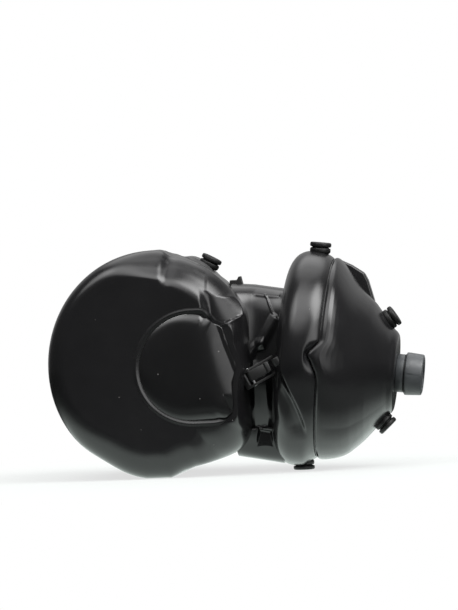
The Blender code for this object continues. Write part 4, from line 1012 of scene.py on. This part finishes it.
def buildClip(place, side, reach):
    half, gap = clip["width"] / 2.0, 0.3 * mm
    slot = half + gap
    ear = slot + clip["ear"]
    node = "clip_" + place + "_"
    end, high, low = clip["rail"], clip["railHeight"], slot + clip["slot"]
    cheek = [(-11 * mm, -5 * mm), (end, -5 * mm), (end, high), (4.6 * mm, high),
             (2.6 * mm, clip["earHeight"]), (-3.4 * mm, clip["earHeight"]), (-9 * mm, 1.0 * mm),
             (-11 * mm, -0.5 * mm)]
    heel = [(-11 * mm, -5 * mm), (-4.4 * mm, -5 * mm), (-4.4 * mm, 1.6 * mm), (-6 * mm, 2.2 * mm),
            (-9 * mm, 1.0 * mm), (-11 * mm, -0.5 * mm)]
    parts = [cutPlate("cheekA", cheek, slot, ear), cutPlate("cheekB", cheek, -low - clip["ear"], -low),
             cutPlate("heel", heel, -low - 0.5 * mm, slot + 0.5 * mm)]
    for part in parts:
        roundEdges(part, 0.4 * mm, 2)
    bracket = join("clip" + place.title() + "Bracket", parts)
    seatClip(bracket, side)
    hand(bracket, fittingBlack, "hood", "black_fitting", node + "bracket")

    turn = [math.radians(a) for a in range(0, 360, 20)]
    pinEdge = [(clip["pin"] * math.cos(a), clip["pin"] * math.sin(a)) for a in turn]
    pin = cutPlate("clip" + place.title() + "Pin", pinEdge, -low - clip["ear"] - 0.5 * mm, ear + 0.5 * mm)
    roundEdges(pin, 0.35 * mm, 3, 60.0)
    seatClip(pin, side)
    hand(pin, pinSteel, "hood", "pin_steel", node + "pin")

    b, t, edge = clip["barrel"], clip["thick"], reach - 1.7 * mm
    barrel = [(b * math.cos(math.radians(a)), b * math.sin(math.radians(a))) for a in range(84, 331, 12)]
    outline = barrel + [(b + 1 * mm, -0.2 * mm), (edge, -0.2 * mm), (edge, -clip["lipDrop"]),
                        (edge + clip["lip"], -clip["lipDrop"]),
                        (edge + clip["lip"], t + 0.6 * mm), (edge + clip["lip"] - 1 * mm, t + 1.6 * mm),
                        (reach - 3.6 * mm, t + 1.6 * mm), (reach - 4.6 * mm, t - 0.2 * mm),
                        (reach * 0.5, t + 0.4 * mm)]
    lever = cutPlate("clip" + place.title() + "Lever", outline, -half, half)
    local = points(lever)
    local[:, 1] -= clip["lean"] * local[:, 2] * (local[:, 1] > 1 * mm) * (local[:, 0] > 5 * mm)
    setPoints(lever, local)
    roundEdges(lever, 0.9 * mm, 4, 25.0)
    seatClip(lever, side)
    hand(lever, fittingBlack, "clip_" + place, "black_fitting", node + "lever")

    end, nose, arm = edge - 0.6 * mm, -0.5 * mm, -clip["lipDrop"] - 0.6 * mm
    outline = [(end - 5 * mm, -9.5 * mm), (reach + 9 * mm, -9.5 * mm), (reach + 9 * mm, arm), (end, arm),
               (end, nose), (end - 5 * mm, nose)]
    catch = cutPlate("clip" + place.title() + "Catch", outline, -half + 0.8 * mm, half - 0.8 * mm)
    roundEdges(catch, 0.5 * mm, 3)
    b, h = clip["block"], clip["blockStand"]
    outline = [(reach + 7 * mm, -9 * mm), (reach + 7 * mm + b, -9 * mm), (reach + 7 * mm + b, h - 3 * mm),
               (reach + 6 * mm + b, h), (reach + 9 * mm, h), (reach + 7 * mm, h - 2 * mm)]
    block = cutPlate("block", outline, -half * 0.75, half * 0.75)
    roundEdges(block, 0.9 * mm, 3)
    catch = join(catch.name, [catch, block])
    seatClip(catch, side)
    hand(catch, fittingBlack, "hood", "black_fitting", node + "catch")


buildClip("front", -1.0, 22.8 * mm)
buildClip("rear", 1.0, 23.4 * mm)
print("clips done")


# cleat on the shoulder and harness lug behind the cone

cleat = {"angle": 46.5, "width": 10 * mm, "length": 21 * mm, "base": 11.5 * mm, "prong": 4 * mm,
         "shift": 3.2 * mm}
lug = {"start": 2.5 * mm, "end": 45.5 * mm, "stand": 21.6 * mm, "y": 33 * mm, "thick": 18 * mm}


def standUp(piece):  # from the drawing plane to the standing XZ plane
    local = points(piece)
    setPoints(piece, local[:, [0, 2, 1]])
    closeUp(piece)


def buildCleat():
    r = float(hoodRadius(np.array([cleat["angle"]]))[0])
    x = hood["x"] + r * math.sin(math.radians(cleat["angle"]))
    z = hood["z"] + r * math.cos(math.radians(cleat["angle"]))
    half, base = cleat["length"] / 2.0, cleat["base"]
    x, z = x + cleat["shift"], z - cleat["shift"]
    outline = [(x - half, z - 2 * mm), (x + half * 0.9, z - 8 * mm), (x + half * 1.25, z - 2 * mm),
               (x + half * 0.5, z + base * 0.4),
               (x + half * 0.28, z + base + cleat["prong"]),
               (x + half * 0.02, z + base + cleat["prong"] * 0.9), (x - half * 0.15, z + base),
               (x - half * 0.9, z + base)]
    piece = cutPlate("shoulderCleat", outline, -cleat["width"] / 2.0, cleat["width"] / 2.0)
    roundEdges(piece, 0.8 * mm, 3)
    standUp(piece)
    smooth(piece, 40.0)
    hand(piece, fittingBlack, "hood", "black_fitting", "lanyard_cleat")


def buildLug():
    def edge(u, stand):
        return math.sqrt(float(coneRadius(u)) ** 2 - lug["y"] ** 2) - float(coneDrop(u)) + stand
    start, length = lug["start"], lug["end"] - lug["start"]
    outline = [(start, edge(start, -5 * mm)), (start, edge(start, 0.5 * mm))]
    outline += [(start + length * s, edge(start + length * s, lug["stand"] * h))
                for s, h in ((0.34, 0.49), (0.68, 1.0), (0.80, 0.87), (1.0, 0.23))]
    outline += [(lug["end"], edge(lug["end"], -5 * mm))]
    piece = cutPlate("harnessLug", outline, lug["y"] - lug["thick"] / 2.0, lug["y"] + lug["thick"] / 2.0)
    roundEdges(piece, 2.2 * mm, 4)
    standUp(piece)
    setPoints(piece, toWorld(points(piece)))
    smooth(piece, 40.0)
    hand(piece, shellBlack, "hood", "black_shell", "harness_lug")


buildCleat()
buildLug()


# inner nodes keep their own shape and get a finish

inner = {"chamber_gasket": sealRubber, "filter_grid_outlet": fittingBlack, "filter_element": filterFelt,
         "filter_grid_inlet": fittingBlack,
         "spigot_nut": couplingGrey, "valve_seat": couplingGrey, "valve_flap": stretchRubber}
for name, finish in inner.items():
    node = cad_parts[name]
    node.data.materials.clear()
    node.data.materials.append(finish)
print("inner pieces finished")


# white floor, soft light and the camera

def mathNode(nodes, links, kind, first, second):
    node = nodes.new("ShaderNodeMath")
    node.operation = kind
    for socket, value in zip(node.inputs, (first, second)):
        if isinstance(value, float):
            socket.default_value = value
        else:
            links.new(value, socket)
    return node.outputs["Value"]


# white for what looks straight at it, a little green for its mirror image in the gloss
def glow(nodes, links, seen, mirrored):
    ray, light = nodes.new("ShaderNodeLightPath"), nodes.new("ShaderNodeEmission")
    plain, mirrorTint = (1.0, 1.0, 1.0), (0.90, 1.0, 0.95)
    links.new(tint(nodes, links, ray.outputs["Is Glossy Ray"], plain, mirrorTint, 0.0, 1.0),
              light.inputs["Color"])
    straight = mathNode(nodes, links, "MAXIMUM", ray.outputs["Is Camera Ray"],
                        ray.outputs["Is Transmission Ray"])
    straight = mathNode(nodes, links, "MULTIPLY", straight, seen)
    mirror = mathNode(nodes, links, "MULTIPLY", ray.outputs["Is Glossy Ray"], mirrored)
    links.new(mathNode(nodes, links, "ADD", straight, mirror), light.inputs["Strength"])
    return light.outputs["Emission"]


floorLook = {"paper": (0.16, 0.175, 0.168, 1.0), "roughness": 0.9, "shadeFrom": 0.24, "shadeTo": 0.50,
             "swing": math.radians(-19.0), "halfLong": 0.34, "halfDeep": 0.165, "shift": 0.03}


def floorFinish():
    finish = bpy.data.materials.new("floorWhite")
    finish.use_nodes = True
    nodes, links = finish.node_tree.nodes, finish.node_tree.links
    paper = nodes["Principled BSDF"]
    paper.inputs["Base Color"].default_value = floorLook["paper"]
    paper.inputs["Roughness"].default_value = floorLook["roughness"]
    paper.inputs["Specular IOR Level"].default_value = 0.0
    where, both, length, near, swing, oval, under, far = (nodes.new(kind) for kind in (
        "ShaderNodeTexCoord", "ShaderNodeAddShader", "ShaderNodeVectorMath", "ShaderNodeMapRange",
        "ShaderNodeVectorRotate", "ShaderNodeVectorMath", "ShaderNodeVectorMath", "ShaderNodeMixShader"))
    length.operation = under.operation = "LENGTH"
    oval.operation, near.interpolation_type = "MULTIPLY_ADD", "SMOOTHSTEP"
    links.new(where.outputs["Object"], length.inputs[0])
    links.new(length.outputs["Value"], near.inputs["Value"])
    near.inputs["From Min"].default_value = floorLook["shadeFrom"]
    near.inputs["From Max"].default_value = floorLook["shadeTo"]
    swing.rotation_type, swing.inputs["Angle"].default_value = "Z_AXIS", floorLook["swing"]
    # the floor is bright in the gloss only below and behind the object
    links.new(where.outputs["Object"], swing.inputs["Vector"])
    links.new(swing.outputs["Vector"], oval.inputs[0])
    wide, deep, shift = floorLook["halfLong"], floorLook["halfDeep"], floorLook["shift"]
    oval.inputs[1].default_value = (1.0 / wide, 1.0 / deep, 0.0)
    oval.inputs[2].default_value = (shift / wide, -shift / deep, 0.0)
    links.new(oval.outputs["Vector"], under.inputs[0])
    links.new(paper.outputs["BSDF"], both.inputs[0])
    links.new(glow(nodes, links, 0.70, spread(nodes, links, under.outputs["Value"], 0.78, 1.20, 1.3, 0.0)),
              both.inputs[1])
    links.new(near.outputs["Result"], far.inputs[0])
    links.new(both.outputs["Shader"], far.inputs[1])
    links.new(glow(nodes, links, 1.0, spread(nodes, links, under.outputs["Value"], 1.0, 2.2, 0.22, 0.05)),
              far.inputs[2])
    links.new(far.outputs["Shader"], nodes["Material Output"].inputs["Surface"])
    return finish


# soft light from the studio's tents: azimuth from the camera's side to the right, elevation, level,
# the angle within which it is full and the angle beyond which it is gone
studio = {"base": 0.12, "lobes": [(-10, 60, 3.0, 5, 36), (64, 50, 9.0, 5, 26), (44, 14, 2.6, 5, 28),
                                  (-50, 50, 2.4, 5, 22), (180, 62, 1.5, 10, 34), (180, 14, 0.3, 36, 60)]}


def lightLobe(nodes, links, way, azimuth, elevation, level, inner, outer):
    a, e = math.radians(azimuth), math.radians(elevation)
    facing, share = nodes.new("ShaderNodeVectorMath"), nodes.new("ShaderNodeMapRange")
    facing.operation, share.interpolation_type = "DOT_PRODUCT", "SMOOTHSTEP"
    links.new(way, facing.inputs[0])
    facing.inputs[1].default_value = (math.sin(a) * math.cos(e), -math.cos(a) * math.cos(e), math.sin(e))
    links.new(facing.outputs["Value"], share.inputs["Value"])
    for socket, number in zip(("From Min", "From Max", "To Min", "To Max"),
                              (math.cos(math.radians(outer)), math.cos(math.radians(inner)), 0.0, level)):
        share.inputs[socket].default_value = number
    return share.outputs["Result"]


def buildStage():
    bpy.ops.object.select_all(action="DESELECT")
    bpy.ops.mesh.primitive_circle_add(vertices=96, radius=3.0, fill_type="NGON", location=(0.0, 0.0, 0.0))
    floor = bpy.context.object
    floor.name = "studioFloor"
    floor.data.materials.append(floorFinish())
    world = bpy.data.worlds.new("studio")
    bpy.context.scene.world = world
    world.use_nodes = True
    nodes, links = world.node_tree.nodes, world.node_tree.links
    ray, where = nodes.new("ShaderNodeLightPath"), nodes.new("ShaderNodeTexCoord")
    total = studio["base"]
    for lobe in studio["lobes"]:
        lit = lightLobe(nodes, links, where.outputs["Generated"], *lobe)
        total = mathNode(nodes, links, "ADD", total, lit)
    seen = mathNode(nodes, links, "MAXIMUM", ray.outputs["Is Camera Ray"], ray.outputs["Is Transmission Ray"])
    unseen = mathNode(nodes, links, "SUBTRACT", 1.0, seen)
    total = mathNode(nodes, links, "ADD", seen, mathNode(nodes, links, "MULTIPLY", unseen, total))
    nodes["Background"].inputs["Color"].default_value = (1.0, 1.0, 1.0, 1.0)
    links.new(total, nodes["Background"].inputs["Strength"])


def softBox(name, place, target, width, height, power):
    lamp = bpy.data.lights.new(name, "AREA")
    lamp.shape, lamp.size, lamp.size_y, lamp.energy = "RECTANGLE", width, height, power
    box = bpy.data.objects.new(name, lamp)
    bpy.context.scene.collection.objects.link(box)
    way = np.array(target) - np.array(place)
    box.location = place
    box.rotation_euler = Vector(way).to_track_quat("-Z", "Y").to_euler()


boxes = {"target": (0.0, 0.0, 0.12),
         "boxRight": {"place": (1.17, -0.92, 1.46), "width": 1.4, "height": 1.2, "power": 2.0},
         "boxFront": {"place": (-0.13, -0.93, 1.89), "width": 1.4, "height": 0.7, "power": 1.5}}
buildStage()
for name in ("boxRight", "boxFront"):
    box = boxes[name]
    softBox(name, box["place"], boxes["target"], box["width"], box["height"], box["power"])

view = {"azimuth": 6.0, "elevation": 1.0, "roll": 2.5, "distance": 6.0, "frame": 0.671,
        "target": (-9.1 * mm, 0.0, 184.0 * mm)}


def buildCamera():
    a, e = math.radians(view["azimuth"]), math.radians(view["elevation"])
    away = Vector((math.sin(a) * math.cos(e), -math.cos(a) * math.cos(e), math.sin(e)))
    lens = bpy.data.cameras.new("photoView")
    lens.sensor_fit, lens.sensor_height, lens.lens = "VERTICAL", 36.0, 36.0 * view["distance"] / view["frame"]
    lens.clip_end = 60.0
    camera = bpy.data.objects.new("photoView", lens)
    bpy.context.scene.collection.objects.link(camera)
    camera.location = Vector(view["target"]) + away * view["distance"]
    turn = (-away).to_track_quat("-Z", "Y").to_matrix()
    camera.rotation_euler = (turn @ Euler((0.0, 0.0, math.radians(-view["roll"]))).to_matrix()).to_euler()
    bpy.context.scene.camera = camera


buildCamera()
bpy.context.scene.view_settings.view_transform = "Standard"
print("stage, lamps and camera ready")
